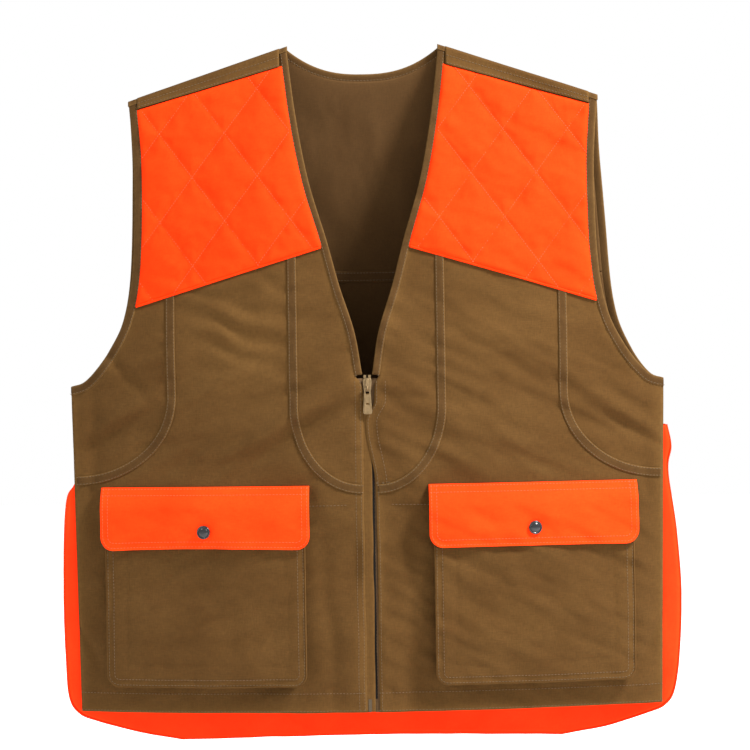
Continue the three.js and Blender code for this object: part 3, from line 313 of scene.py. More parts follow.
def for_side(side, path):
    """Mirrors [x, z] places to one side."""
    out = np.array(path, float)
    out[..., 0] *= side
    return out


def fan(inner, outer, cols):
    """A grid of places between two paths."""
    w = np.linspace(0, 1, cols)[None, :, None]
    return inner[:, None, :] * (1 - w) + outer[:, None, :] * w


def make_mesh(name, points, faces, uv=None, material=None, wear=None, smooth_shade=True):
    name = name + "_piece"
    mesh = bpy.data.meshes.new(name)
    mesh.from_pydata([tuple(p) for p in np.asarray(points) * MM], [], [tuple(f) for f in faces])
    mesh.validate()
    if uv is not None:
        layer = mesh.uv_layers.new(name="cloth")
        index = np.zeros(len(mesh.loops), int)
        mesh.loops.foreach_get("vertex_index", index)
        layer.data.foreach_set("uv", (np.asarray(uv)[index] * MM).ravel())
    # Per-point paling mask: real edge wear, and on the fronts a painted chest highlight
    if wear is not None:
        attribute = mesh.attributes.new("wear", "FLOAT", "POINT")
        attribute.data.foreach_set("value", np.asarray(wear, np.float32))
    mesh.polygons.foreach_set("use_smooth", [smooth_shade] * len(mesh.polygons))
    obj = bpy.data.objects.new(name, mesh)
    bpy.context.collection.objects.link(obj)
    if material is not None:
        mesh.materials.append(material)
    return obj


def outward(obj):
    """Turns a closed mesh's faces to point out."""
    bm = bmesh.new()
    bm.from_mesh(obj.data)
    bmesh.ops.recalc_face_normals(bm, faces=bm.faces)
    bm.to_mesh(obj.data)
    bm.free()
    return obj


def slab(name, face, back, uv, material, wear=None):
    """A closed cloth from two grids of points, with its own flat coordinates."""
    rows, cols = face.shape[:2]
    n = rows * cols
    at = np.arange(n).reshape(rows, cols)
    a, b, c, d = at[:-1, :-1], at[:-1, 1:], at[1:, 1:], at[1:, :-1]
    quads = np.stack([a, b, c, d], axis=-1).reshape(-1, 4)
    faces = np.vstack([quads, quads[:, ::-1] + n]).tolist()
    rim = np.concatenate([at[0, :-1], at[:-1, -1], at[-1, :0:-1], at[:0:-1, 0]])
    following = np.roll(rim, -1)
    faces += [[int(q), int(p), int(p + n), int(q + n)] for p, q in zip(rim, following)]
    points = np.vstack([face.reshape(-1, 3), back.reshape(-1, 3)])
    uvs = np.vstack([uv.reshape(-1, 2)] * 2)
    worn_and_lit = None
    if wear is not None:
        worn_and_lit = np.concatenate([wear.ravel(), wear.ravel()])
    return outward(make_mesh(name, points, faces, uvs, material, worn_and_lit))


def edge_fade(rows, cols, height, width, reach):
    """Distance-based wear from 1 at the grid's edges to 0 inside, sizes in mm."""
    r = np.minimum(np.arange(rows), np.arange(rows)[::-1]) / (rows - 1) * height
    c = np.minimum(np.arange(cols), np.arange(cols)[::-1]) / (cols - 1) * width
    d = np.minimum(r[:, None], c[None, :])
    return np.exp(-d / reach)


def cloth(name, xz, surface, off, thickness, material, puff=0, wear=None):
    """A cloth over a grid of [x, z] places; off is its outer face in front of the surface."""
    x, z = xz[..., 0], xz[..., 1]
    face = np.stack([x, surface(x, z, off + puff), z], axis=-1)
    back = np.stack([x, surface(x, z, off - thickness), z], axis=-1)
    rows, cols = x.shape
    height = abs(z[0].mean() - z[-1].mean()) + 1
    width = abs(x[:, 0].mean() - x[:, -1].mean()) + 1
    if wear is None:
        wear = edge_fade(rows, cols, height, width, 5.0)
    return slab(name, face, back, xz, material, wear)


def ribbon(name, inner, outer, surface, off, thickness, material, cols=9):
    """A tape between two paths of [x, z], with rounded long edges."""
    w = np.linspace(0, 1, cols)
    x, z = np.moveaxis(fan(inner, outer, cols), -1, 0)
    crown = np.sin(math.pi * np.clip(w, 0.001, 0.999)) ** 0.35
    middle = off - thickness / 2
    face = np.stack([x, surface(x, z, middle + thickness / 2 * crown), z], axis=-1)
    back = np.stack([x, surface(x, z, middle - thickness / 2 * crown), z], axis=-1)
    along = np.concatenate([[0], np.cumsum(np.linalg.norm(np.diff(inner, axis=0), axis=1))])
    across = np.linalg.norm(inner - outer, axis=1).mean()
    wear = np.ascontiguousarray(np.broadcast_to(np.abs(2 * w - 1)[None, :] ** 3, x.shape))
    return slab(name, face, back, pairs((w * across)[None, :], along[:, None]), material, wear)


# Rings of one stitch: place along its half length, share of its radius, height in radii
STITCH_RINGS = ((-1, 0.15, -0.35), (-0.6, 0.9, 0.1), (0, 1, 0.3), (0.6, 0.9, 0.1), (1, 0.15, -0.35))


def stitches(name, paths, surface, off, material, pitch=3.3, size=0.36, fill=0.72):
    """Single thread stitches along paths of [x, z] on a surface."""
    ring = 6
    points, faces = [], []
    for path in paths:
        count = max(2, int(length_of(path) / pitch))
        spots = resample(path, count)
        tangent = np.gradient(spots, axis=0)
        tangent /= np.linalg.norm(tangent, axis=1)[:, None] + 1e-9
        half = pitch * fill / 2
        for (x, z), (tx, tz) in zip(spots, tangent):
            base = len(points)
            lean = rng.normal(0, 0.03)
            tx, tz = tx - lean * tz, tz + lean * tx
            for s, r, h in STITCH_RINGS:
                cx, cz = x + tx * half * s, z + tz * half * s
                for k in range(ring):
                    angle = 2 * math.pi * k / ring
                    u, v = math.cos(angle) * size * r, math.sin(angle) * size * r
                    points.append((cx - tz * u, cz + tx * u, off + h * size + v))
            for seg in range(4):
                for k in range(ring):
                    a = base + seg * ring + k
                    b = base + seg * ring + (k + 1) % ring
                    faces.append((a, b, b + ring, a + ring))
            faces.append(tuple(base + k for k in range(ring)))
            faces.append(tuple(base + 4 * ring + k for k in range(ring))[::-1])
    p = np.array(points)
    y = surface(p[:, 0], p[:, 1], p[:, 2])
    return outward(make_mesh(name, np.stack([p[:, 0], y, p[:, 1]], axis=1), faces, None, material))


# ---- Materials ----


class Nodes:
    """A short way to build a node tree."""

    def __init__(self, name):
        self.material = bpy.data.materials.new(name)
        self.material.use_nodes = True
        self.tree = self.material.node_tree
        self.shader = self.tree.nodes["Principled BSDF"]

    def add(self, kind, **values):
        node = self.tree.nodes.new(kind)
        for key, value in values.items():
            if key in node.inputs:
                node.inputs[key].default_value = value
            else:
                setattr(node, key, value)
        return node

    def link(self, a, b):
        self.tree.links.new(a, b)

    def noise(self, vector, **values):
        node = self.add("ShaderNodeTexNoise", **values)
        self.link(vector, node.inputs["Vector"])
        return node

    def relief(self, height, strength, distance):
        node = self.add("ShaderNodeBump", Strength=strength, Distance=distance)
        self.link(height, node.inputs["Height"])
        self.link(node.outputs[0], self.shader.inputs["Normal"])

    def math(self, operation, a, b=None, c=None, clamp=False):
        node = self.tree.nodes.new("ShaderNodeMath")
        node.operation = operation
        node.use_clamp = clamp
        for i, value in enumerate((a, b, c)):
            if value is None:
                continue
            if isinstance(value, (int, float)):
                node.inputs[i].default_value = value
            else:
                self.link(value, node.inputs[i])
        return node.outputs[0]

    def mix(self, factor, a, b, blend="MIX"):
        node = self.tree.nodes.new("ShaderNodeMix")
        node.data_type = "RGBA"
        node.blend_type = blend
        sockets = [node.inputs[0], node.inputs[6], node.inputs[7]]
        for socket, value in zip(sockets, (factor, a, b)):
            if isinstance(value, (int, float, tuple)):
                socket.default_value = value
            else:
                self.link(value, socket)
        return node.outputs[2]


def rgb(r, g, b):
    return (r, g, b, 1.0)


def cloth_material(
    name, base, light, dark, thread=0.9, weave=0.18, mottle=0.3, bump_depth=0.35, rough=0.95,
    specular=0.08, wear_amount=0.5, painted_glow=0.0,
):
    """Woven cloth: crossing threads, slubs, faded patches, paler worn edges, painted highlights and a painted
    glow.
    """
    n = Nodes(name)
    uv = n.add("ShaderNodeUVMap", uv_map="cloth").outputs[0]
    warp = n.noise(uv, Scale=90.0, Detail=2.0)
    offset = n.add("ShaderNodeVectorMath", operation="SCALE")
    offset.inputs["Scale"].default_value = 0.0007
    n.link(warp.outputs["Color"], offset.inputs[0])
    moved = n.add("ShaderNodeVectorMath", operation="ADD")
    n.link(uv, moved.inputs[0])
    n.link(offset.outputs[0], moved.inputs[1])
    split = n.add("ShaderNodeSeparateXYZ")
    n.link(moved.outputs[0], split.inputs[0])
    k = 2 * math.pi / (thread * MM)
    across = n.math("SINE", n.math("MULTIPLY", split.outputs[0], k))
    down = n.math("SINE", n.math("MULTIPLY", split.outputs[1], k))
    over = n.math("MULTIPLY", across, down)
    height = n.math("MULTIPLY_ADD", over, 0.5, 0.5)
    slubs = []
    for scale in ((760, 150, 1), (150, 760, 1)):
        stretch = n.add("ShaderNodeMapping")
        stretch.inputs["Scale"].default_value = scale
        n.link(uv, stretch.inputs[0])
        slubs.append(n.noise(stretch.outputs[0], Scale=1.0, Detail=3.0, Roughness=0.6).outputs[0])
    grain = n.math("MULTIPLY", n.math("ADD", *slubs), 0.5)
    fade = n.noise(uv, Scale=14.0, Detail=5.0, Roughness=0.62)
    fade_range = n.add("ShaderNodeMapRange")
    fade_range.inputs["From Min"].default_value = 0.3
    fade_range.inputs["From Max"].default_value = 0.7
    n.link(fade.outputs[0], fade_range.inputs[0])
    # Paler where the mask is high: real worn edges, and the painted chest highlight standing in for light
    worn_and_lit = n.add("ShaderNodeAttribute", attribute_name="wear").outputs["Fac"]
    rub = n.noise(uv, Scale=240.0, Detail=3.0)
    rubbed_and_lit = n.math("MULTIPLY", worn_and_lit, n.math("MULTIPLY", rub.outputs[0], wear_amount * 1.6), clamp=True)
    colour = n.mix(n.math("MULTIPLY", fade_range.outputs[0], mottle), rgb(*base), rgb(*light))
    shade = n.math("MULTIPLY_ADD", grain, 1.6, -0.3, clamp=True)
    colour = n.mix(n.math("MULTIPLY", n.math("SUBTRACT", 1.0, shade), 0.85), colour, rgb(*dark))
    colour = n.mix(n.math("MULTIPLY", n.math("SUBTRACT", 1.0, height), weave), colour, rgb(*dark))
    colour = n.mix(rubbed_and_lit, colour, rgb(*light))
    n.link(colour, n.shader.inputs["Base Color"])
    n.shader.inputs["Roughness"].default_value = rough
    n.shader.inputs["Specular IOR Level"].default_value = specular
    # Painted glow: emission that brightens the cloth evenly, its shaded parts too, as if it were more
    # strongly lit
    if painted_glow:
        n.link(colour, n.shader.inputs["Emission Color"])
        n.shader.inputs["Emission Strength"].default_value = painted_glow
    relief = n.math("ADD", n.math("MULTIPLY", height, 0.5), n.math("MULTIPLY", grain, 0.9))
    n.relief(relief, bump_depth, 0.0006)
    return n.material


def thread_material(name, base, light):
    n = Nodes(name)
    where = n.add("ShaderNodeTexCoord").outputs["Object"]
    twist = n.noise(where, Scale=900.0, Detail=2.0)
    n.link(n.mix(twist.outputs[0], rgb(*base), rgb(*light)), n.shader.inputs["Base Color"])
    n.shader.inputs["Roughness"].default_value = 0.7
    n.relief(twist.outputs[0], 0.4, 0.0002)
    return n.material


def hard_material(name, base, light, metallic, rough, scale=300.0, dent=0.15, shine=0.5):
    """Metal or plastic with fine scratches, tarnish and uneven polish."""
    n = Nodes(name)
    where = n.add("ShaderNodeTexCoord").outputs["Object"]
    tarnish = n.noise(where, Scale=scale, Detail=5.0, Roughness=0.65)
    n.link(n.mix(tarnish.outputs[0], rgb(*base), rgb(*light)), n.shader.inputs["Base Color"])
    n.shader.inputs["Metallic"].default_value = metallic
    low = n.math("MULTIPLY_ADD", tarnish.outputs[0], 0.3, rough - 0.12)
    n.link(low, n.shader.inputs["Roughness"])
    n.shader.inputs["Specular IOR Level"].default_value = shine
    n.relief(n.noise(where, Scale=scale * 5, Detail=2.0).outputs[0], dent, 0.0002)
    return n.material


CANVAS = cloth_material(
    "canvas", (0.078, 0.03604, 0.00825), (0.1222, 0.06254, 0.017), (0.03224, 0.01431, 0.00375),
    mottle=0.55, weave=0.3,
)
BINDING = cloth_material(
    "binding", (0.0546, 0.02544, 0.00675), (0.1144, 0.06095, 0.018), (0.026, 0.01166, 0.0035),
    thread=0.7, wear_amount=0.8, mottle=0.5,
)
INSIDE = cloth_material(
    "canvas_inside", (0.065, 0.03074, 0.009), (0.0884, 0.04505, 0.015), (0.0312, 0.01484, 0.005),
    mottle=0.6, weave=0.3,
)
# The orange cloths carry a painted glow, the bag's strongest, lifting their shaded parts as if lit
PATCH = cloth_material(
    "quilted_orange", (0.8, 0.02772, 0.00175), (0.9, 0.0495, 0.004), (0.68, 0.01848, 0.001),
    thread=0.45, weave=0.1, mottle=0.45, bump_depth=0.12, rough=0.85, specular=0.04, wear_amount=0.2,
    painted_glow=0.16,
)
FLAP = cloth_material(
    "flap_orange", (0.82, 0.033, 0.0025), (0.92, 0.0594, 0.006), (0.7, 0.02244, 0.0015),
    thread=0.5, weave=0.12, mottle=0.5, bump_depth=0.14, rough=0.85, specular=0.04, wear_amount=0.3,
    painted_glow=0.16,
)
BAG = cloth_material(
    "bag_orange", (0.85, 0.02508, 0.003), (0.95, 0.0528, 0.006), (0.72, 0.01848, 0.002),
    thread=0.4, weave=0.08, mottle=0.45, bump_depth=0.1, rough=0.8, specular=0.05, wear_amount=0.2, painted_glow=0.3,
)
ZIP_TAPE = cloth_material(
    "zip_tape", (0.07, 0.038, 0.016), (0.11, 0.065, 0.03), (0.035, 0.018, 0.008), thread=0.8, bump_depth=0.3
)
THREAD = thread_material("tan_thread", (0.062, 0.034, 0.0115), (0.108, 0.064, 0.025))
THREAD_ORANGE = thread_material("orange_thread", (0.7, 0.035, 0.004), (0.85, 0.07, 0.01))
BRASS = hard_material("antique_brass", (0.11, 0.07, 0.03), (0.28, 0.19, 0.095), 0.8, 0.4)
DARK_BRASS = hard_material("dark_brass", (0.035, 0.025, 0.014), (0.08, 0.055, 0.03), 0.6, 0.45)
TEETH = hard_material("black_teeth", (0.004, 0.0035, 0.003), (0.010, 0.008, 0.007), 0.0, 0.8, shine=0.06)
SNAP = hard_material("black_enamel", (0.004, 0.004, 0.005), (0.01, 0.01, 0.012), 0.0, 0.2, 500, 0.05, 0.45)
STEEL = hard_material("snap_steel", (0.3, 0.28, 0.26), (0.5, 0.48, 0.45), 0.9, 0.35)

# ---- Who moves with what ----


def finish_piece(obj, body, nodes=()):
    """Parents a finished piece to its body, or bakes it in place when the body's name ends in bends, and
    hides the CAD nodes it stands for.
    """
    if body.endswith("bends"):
        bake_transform(obj)
    else:
        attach(obj, body)
    if nodes:
        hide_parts(*nodes)
    return obj


PUFF_U = 67.0
PUFF_V = 91.0
QUILT_X, QUILT_Z = 109, -132
# Heights of the patch's top and lower edge, at the neck and at the armhole
PATCH_TOP = (-17.8, -60.9)
PATCH_LOW = (-206.5, -263.0)
PATCH_LOW_X = (46, 227)


def quilt(x, z):
    """Height of the padded diamonds in mm."""
    ax = np.abs(x)
    a = (ax - QUILT_X) / PUFF_U + (z - QUILT_Z) / PUFF_V
    b = (ax - QUILT_X) / PUFF_U - (z - QUILT_Z) / PUFF_V
    scale = 1 / math.hypot(1 / PUFF_U, 1 / PUFF_V)
    da = np.abs(a - np.round(a)) * scale
    db = np.abs(b - np.round(b)) * scale
    d = np.minimum(da, db)
    ripple = 0.9 * noise(x / 8, z / 8, 1) * np.exp(-((d / 8) ** 2)) * (1 - np.exp(-((d / 1.6) ** 2)))
    height = 3.4 * (1 - np.exp(-d / 8.0)) + ripple + 1.0 * fractal(x / 30, z / 22, 4)
    height = height + 0.5 * noise(x / 12, z / 7, 6)
    return height


def patch_face(x, z, off):
    return front_y(x, z, 2.0 + quilt(x, z) + off)


def patch_bottom(x):
    """Height of the patch's lower edge at x."""
    share = (np.asarray(x, float) - PATCH_LOW_X[0]) / (PATCH_LOW_X[1] - PATCH_LOW_X[0])
    return PATCH_LOW[0] + (patch_lo[2] - PATCH_LOW[0]) * share


SIDES = (("right", -1), ("left", 1))


def sheet_piece(name, grid, surface, off, thickness, material, body, nodes=(), held="hung", **more):
    """A cloth put on its body, hiding the nodes it stands for; its UVs are its flat x and z."""
    obj = cloth(name, grid, surface, off, thickness, material, **more)
    finish_piece(obj, body, nodes)
    return obj


def tape_piece(name, inner, outer, surface, off, thickness, material, body, nodes=(), **more):
    return finish_piece(ribbon(name, inner, outer, surface, off, thickness, material, **more), body, nodes)


def sewn(name, paths, surface, off, body, thread=THREAD, **more):
    return finish_piece(stitches(name, paths, surface, off, thread, **more), body)


def quarter(x0, top, bend, x1, z1):
    """A tape's path: straight down from top to bend, then a quarter ellipse to [x1, z1]."""
    straight = [[x0, z] for z in np.linspace(top, bend, 12)]
    angles = np.linspace(0, math.pi / 2, 30)[1:]
    arc = [[x1 + (x0 - x1) * math.cos(a), bend + (z1 - bend) * math.sin(a)] for a in angles]
    return resample(straight + arc, 150)


def corner_half(z, bottom, half, radius):
    """Half width at height z of a shape with round lower corners."""
    rise = np.maximum(0, radius - (z - bottom))
    return half - radius + np.sqrt(np.maximum(0, radius * radius - rise * rise))


def arc_rows(top, bottom, radius, count):
    """Heights from top to bottom, closer together round the lower corners."""
    arc = bottom + radius * (1 - np.cos(np.linspace(0, math.pi / 2, 10)))
    return np.concatenate([arc, np.linspace(bottom + radius, top, count)[1:]])[::-1]


def u_loop(inset, half, radius, top, bottom, straight, count):
    """A line down one side, round the lower corners and up the other, inset from a pocket's edge."""
    h, r, b = half - inset, max(2.0, radius - inset), bottom + inset
    angles = np.linspace(math.pi, 1.5 * math.pi, 14)
    left = [[POCKET_X - h, z] for z in np.linspace(top, b + r, straight)]
    left += [[POCKET_X - h + r + r * math.cos(a), b + r + r * math.sin(a)] for a in angles[1:]]
    right = [[2 * POCKET_X - x, z] for x, z in left][::-1]
    return resample(left + right, count)


def skinned(name, points, turns, closed, material, body, nodes=()):
    """A skin over rings of points, open rings being capped at both ends."""
    count = len(points) // turns
    faces = []
    for i in range(count if closed else count - 1):
        n = (i + 1) % count
        for k in range(turns):
            q = (k + 1) % turns
            faces.append((i * turns + k, i * turns + q, n * turns + q, n * turns + k))
    if not closed:
        faces.append(tuple(range(turns))[::-1])
        faces.append(tuple((count - 1) * turns + k for k in range(turns)))
    return finish_piece(outward(make_mesh(name, points, faces, None, material)), body, nodes)


# Radius and height of the snap's turned pieces
SNAP_CAP = [
    (6.6, -0.2), (6.85, 0.1), (6.85, 0.8), (6.7, 1.15), (6.35, 1.4), (5.95, 1.45), (5.6, 1.3), (5.35, 1.05),
    (5.1, 1.0), (4.9, 1.15), (4.6, 1.5), (4.0, 1.95), (3.2, 2.3), (2.2, 2.52), (1.1, 2.6), (0.3, 2.62),
]
SNAP_SOCKET = [(2.6, 0), (5.2, 0), (5.5, 0.3), (5.5, 0.9), (5.2, 1.2), (2.9, 1.2), (2.6, 0.9), (2.6, 0.05)]
SNAP_STUD = [
    (4.0, 0), (4.0, 0.4), (3.7, 0.65), (2.0, 0.65), (1.7, 0.9), (1.9, 1.4), (1.7, 1.8), (1.0, 1.9),
    (0.2, 1.9),
]


def lathe(name, profile, side, off, material, body, nodes):
    """A turned piece on the snap's axis, from a profile of radius and height."""
    turns = 40
    sx = side * POCKET_X
    centre = np.array([sx, float(front_y(sx, SNAP_Z, off)), SNAP_Z])
    slope_x = float(front_y(sx + 1, SNAP_Z, 0) - front_y(sx - 1, SNAP_Z, 0)) / 2
    normal = np.array([slope_x, -1.0, 0.0])
    normal /= np.linalg.norm(normal)
    across_axis = np.array([-normal[1], normal[0], 0.0])
    up_axis = np.array([0, 0, 1.0])
    points = []
    for r, h in profile:
        for k in range(turns):
            a = 2 * math.pi * k / turns
            points.append(centre + normal * h + r * (math.cos(a) * across_axis + math.sin(a) * up_axis))
    return skinned(name, points, turns, False, material, body, nodes)


def block_row(name, boxes, material, body, nodes):
    """Bevelled blocks; taper narrows the end at each block's first x."""
    points, faces = [], []
    for (x0, x1), (y0, y1), (z0, z1), taper in boxes:
        b = len(points)
        bevel = 0.22
        mx, mz = (x0 + x1) / 2, (z0 + z1) / 2
        for y, grow in ((y0, -bevel), (y0 + bevel, 0), (y1 - bevel, 0), (y1, -bevel)):
            for px, pz in ((x0, z0), (x1, z0), (x1, z1), (x0, z1)):
                squeeze = taper if (px == x0) else 1.0
                hx = px + math.copysign(grow, px - mx)
                hz = mz + (pz - mz) * squeeze + math.copysign(grow, pz - mz)
                points.append((hx, y, hz))
        for ring in range(3):
            for k in range(4):
                p, q = b + ring * 4 + k, b + ring * 4 + (k + 1) % 4
                faces.append((p, q, q + 4, p + 4))
        faces.append((b, b + 1, b + 2, b + 3))
        faces.append((b + 15, b + 14, b + 13, b + 12))
    obj = outward(make_mesh(name, points, faces, None, material, smooth_shade=False))
    return finish_piece(obj, body, nodes)


for word, side in SIDES:
    bends = f"{word}_front bends"
    rigid = f"{word}_front"

    def here(path):
        return for_side(side, path)

    # Front cloth: shoulder to hem in one piece
    inset = arm_path(7.5)
    z_in = np.linspace(-SLOPE * 7, NECK_BOTTOM_Z, 122)
    inner_up = pairs(neck_x(z_in) + 6.5, z_in)
    z_low = np.linspace(NECK_BOTTOM_Z - 2.7, HEM_Z, 128)
    inner_low = pairs(front_edge_x(z_low, side), z_low)
    ease = np.exp(-np.arange(len(inner_low)) / 2.0)
    inner_low[:, 0] += ease * (inner_up[-1, 0] - inner_low[0, 0])
    outer_up = resample(inset, 122)
    z_side = np.linspace(outer_up[-1, 1] - 2.5, HEM_Z, 128)
    outer_low = pairs(side_x(z_side) - 0.3, z_side)
    inner = np.vstack([inner_up, inner_low])
    outer = np.vstack([outer_up, outer_low])
    grid = here(fan(inner, outer, 104))
    # Painted highlight: a pale round spot on each chest, strongest on the wearer's right, standing in for
    # light falling there; added to the real edge wear
    near = np.abs(grid[..., 0]) - 118
    rubbed_and_lit = np.exp(-((near / 62) ** 2) - ((grid[..., 1] + 305) / 62) ** 2) * (0.75 if side < 0 else 0.3)
    rubbed_and_lit = np.clip(rubbed_and_lit + edge_fade(*grid.shape[:2], 650, 240, 4.0), 0, 1)
    panels = [f"{word}_front_upper_panel", f"{word}_front_lower_panel"]
    sheet_piece(f"{word}_front_cloth", grid, front_y, 0.0, 1.1, CANVAS, bends, panels, wear=rubbed_and_lit)

    # Side seam, joining the front to the back
    seam_z = np.linspace(UNDERARM_Z - 1.0, HEM_Z + 0.4, 120)[:, None]
    seam_x = side * (side_x(seam_z) - 1.4)
    turn = np.linspace(-math.pi / 2, math.pi / 2, 11)[None, :]
    low_y, high_y = front_y(seam_x, seam_z) + 0.2, back_y(seam_x, seam_z) - 0.2
    middle, reach = (low_y + high_y) / 2, (high_y - low_y) / 2
    layers = []
    for inward in (0.0, 0.5):
        layers.append(np.stack(np.broadcast_arrays(
            seam_x + side * (1.6 - inward) * np.cos(turn),
            middle + (reach - 0.3 * inward) * np.sin(turn),
            seam_z,
        ), axis=-1))
    seam = slab(f"{word}_side_seam", *layers, pairs(turn * 2.0, -seam_z), CANVAS)
    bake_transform(seam)

    # Quilted patch
    t = np.linspace(0, 1, 96)
    zi, zo = (top + t * (low - top) for top, low in zip(PATCH_TOP, PATCH_LOW))
    pi = pairs(neck_x(zi) + 6.6, zi)
    arm = arm_path(7.8)
    po = pairs(np.interp(-zo, -arm[:, 1], arm[:, 0]), zo)
    grid = here(fan(pi, po, 90))
    height = quilt(grid[..., 0], grid[..., 1])
    rim, border = (edge_fade(*grid.shape[:2], 195, 185, reach) for reach in (1.8, 9))
    edge_pucker = 0.5 * noise(grid[..., 0] / 6, grid[..., 1] / 9, 5) * border
    height = (height * (1 - 0.35 * border) + edge_pucker + 1.1) * (1 - rim)
    patch = cloth(f"{word}_shoulder_patch", grid, front_y, 0.9, 0.8, PATCH, puff=height)
    finish_piece(patch, bends, [f"{word}_shoulder_patch"])

    # Quilting stitches, run out to the patch's edges
    lines = []
    for family in (1, -1):
        for n in range(-6, 8):
            pts = []
            for zz in np.linspace(-10, -275, 160):
                xx = QUILT_X + PUFF_U * (n - family * (zz - QUILT_Z) / PUFF_V)
                low = patch_bottom(xx)
                top = -18.5 - (xx - 84) * (43.5 / 148)
                xin = neck_x(zz) + 9.5
                xout = np.interp(-zz, -arm[:, 1], arm[:, 0]) - 1.5
                if xin < xx < xout and low + 2.0 < zz < top - 1.0:
                    pts.append((xx, zz))
            if len(pts) > 6:
                lines.append(here(pts))
    sewn(f"{word}_quilting", lines, patch_face, 0.12, bends, THREAD_ORANGE, pitch=2.8, size=0.26)

    # Piped lower edge of the patch
    low_line = resample([pi[-1] + [1.4, 0.0], po[-1] + [-1.0, 0.0]], 90)
    tape_piece(
        f"{word}_patch_edge", here(low_line + [0, 1.4]), here(low_line - [0, 1.4]),
        front_y, 2.6, 2.4, PATCH, bends, cols=7,
    )

    # Seam tapes down the chest
    bib_end = 6.5 if side < 0 else 9.5
    bib = quarter(75.0, patch_bottom(75) + 1.0, UNDERARM_Z - 24, bib_end, UNDERARM_Z - 108)
    tape = quarter(200.0, patch_bottom(200) + 1.0, UNDERARM_Z - 12, SIDE - 5, UNDERARM_Z - 97)
    rows_of_stitches = []
    for label, path in (("bib_tape", bib), ("side_tape", tape)):
        tape_piece(
            f"{word}_{label}", here(shifted(path, 4.6)), here(shifted(path, -4.6)), front_y, 1.7, 1.8,
            BINDING, bends, [f"{word}_{label}_upper", f"{word}_{label}_lower"],
        )
        rows_of_stitches += [here(shifted(path, 3.4)), here(shifted(path, -3.4))]
    sewn(f"{word}_tape_stitches", rows_of_stitches, front_y, 1.65, bends, size=0.24)

    # Topstitching on the front cloth itself
    z_run = np.linspace(NECK_BOTTOM_Z - 8, HEM_Z + 3, 200)
    edge = front_edge_x(z_run, side)
    rows_here = [pairs(edge + 2.6, z_run)]
    if side > 0:
        rows_here.append(pairs(edge + 11.5, z_run)[z_run > -446])
        rows_here += [[[8.5, z], [20.5, z]] for z in (-445.5, -446.6)]
    else:
        rows_here.append(pairs(edge + 8.0, z_run))
    hem_x = np.linspace(8, 298, 120)
    rows_here += [pairs(hem_x, HEM_Z + rise) for rise in (19.5, 1.8)]
    rows_here.append([[24.0, -468.0], [64.0, -468.5]])
    sewn(f"{word}_front_stitches", [here(row) for row in rows_here], front_y, 0.12, bends, size=0.25)

    # Armhole binding, front and back halves
    halves = (
        ("_front", "", 0.0, front_y, bends), ("_back", "_back", BACK_EXTRA[side], back_y, "shell"),
    )
    for half, _, extra, surface, body in halves:
        edges = [here(resample(arm_path(inset, extra), 170)) for inset in (0.0, 9.0)]
        name, nodes = f"{word}_armhole_binding{half}", [f"{word}_armhole_binding"]
        tape_piece(name, *edges, surface, 1.5, 3.0, BINDING, body, nodes)
    for _, half, extra, surface, body in halves:
        line = here(resample(arm_path(7.4, extra), 170))
        sewn(f"{word}_armhole_stitches{half}", [line], surface, 1.5, body, size=0.25)

    # Neck binding on the front
    z_run = np.linspace(0, NECK_BOTTOM_Z, 170)
    edge_p = pairs(neck_x(z_run), z_run)
    in_p = shifted(edge_p, 7.8)
    in_p[:6, 0] = edge_p[:6, 0] + 7.8
    in_p[:1, 1] = -SLOPE * 7.8
    tape_piece(
        f"{word}_neck_binding", here(edge_p), here(in_p), front_y, 1.5, 3.0, BINDING, bends, ["neck_binding"]
    )
    sewn(f"{word}_neck_stitches", [here(shifted(edge_p, 6.3)[3:])], front_y, 1.5, bends, size=0.25)

    # Shoulder strip and the ends of the bindings, folded over the shoulder line
    def over_shoulder(name, x0, x1, off, thick, front_run, back_run, material, cols=70):
        """A cloth from front_run below the shoulder line, over it, to back_run behind."""
        u = np.linspace(0, 1, cols)
        xs = x0 + u * (x1 - x0)
        top = -SLOPE * (xs - NECK_HALF)
        fronts = front_run[0] + u * (front_run[1] - front_run[0])

        def layer(o):
            rows = []
            for k in np.linspace(1, 0, 12):
                z = top - fronts * k
                rows.append([side * xs, front_y(side * xs, z, o), z])
            near, far = rows[-1][1], back_y(side * xs, top, o)
            for k in np.linspace(0, math.pi, 11)[1:-1]:
                y = (near + far) / 2 - (far - near) / 2 * math.cos(k)
                rows.append([side * xs, y, top + (SEAM_FACE + o) * math.sin(k) * 0.8])
            for k in np.linspace(0, 1, 6):
                z = top - back_run * k
                rows.append([side * xs, back_y(side * xs, z, o), z])
            return np.array(rows).transpose(0, 2, 1)

        face, back = layer(off), layer(off - thick)
        run = np.concatenate([[0], np.cumsum(np.linalg.norm(np.diff(face.mean(axis=1), axis=0), axis=1))])
        uv = pairs(xs[None, :], run[:, None])
        wear = edge_fade(*face.shape[:2], run[-1], abs(x1 - x0), 3)
        return slab(name, face, back, uv, material, wear), uv

    strip, uv = over_shoulder(
        f"{word}_shoulder_strip", 85.6, 232.2, 2.6, 1.9, (15.9, 8.6), 8.0, CANVAS
    )
    finish_piece(strip, "shell", [f"{word}_shoulder_strip"])
    xs = np.linspace(87.5, 230.5, 90)
    runs = np.linspace(14.0, 6.8, 90)
    line = -SLOPE * (xs - NECK_HALF)
    rows_here = [here(pairs(xs, line - runs * share)) for share in (1, 0.45)]
    sewn(f"{word}_strip_stitches", rows_here, front_y, 2.7, "shell", size=0.25)
    for end, x0, x1 in (("neck", 77.4, 86.8), ("shoulder", 231.2, 241.6)):
        crown, _ = over_shoulder(f"{word}_{end}_crown", x0, x1, 2.0, 1.6, (3.0, 3.0), 3.0, BINDING, 9)
        finish_piece(crown, "shell")

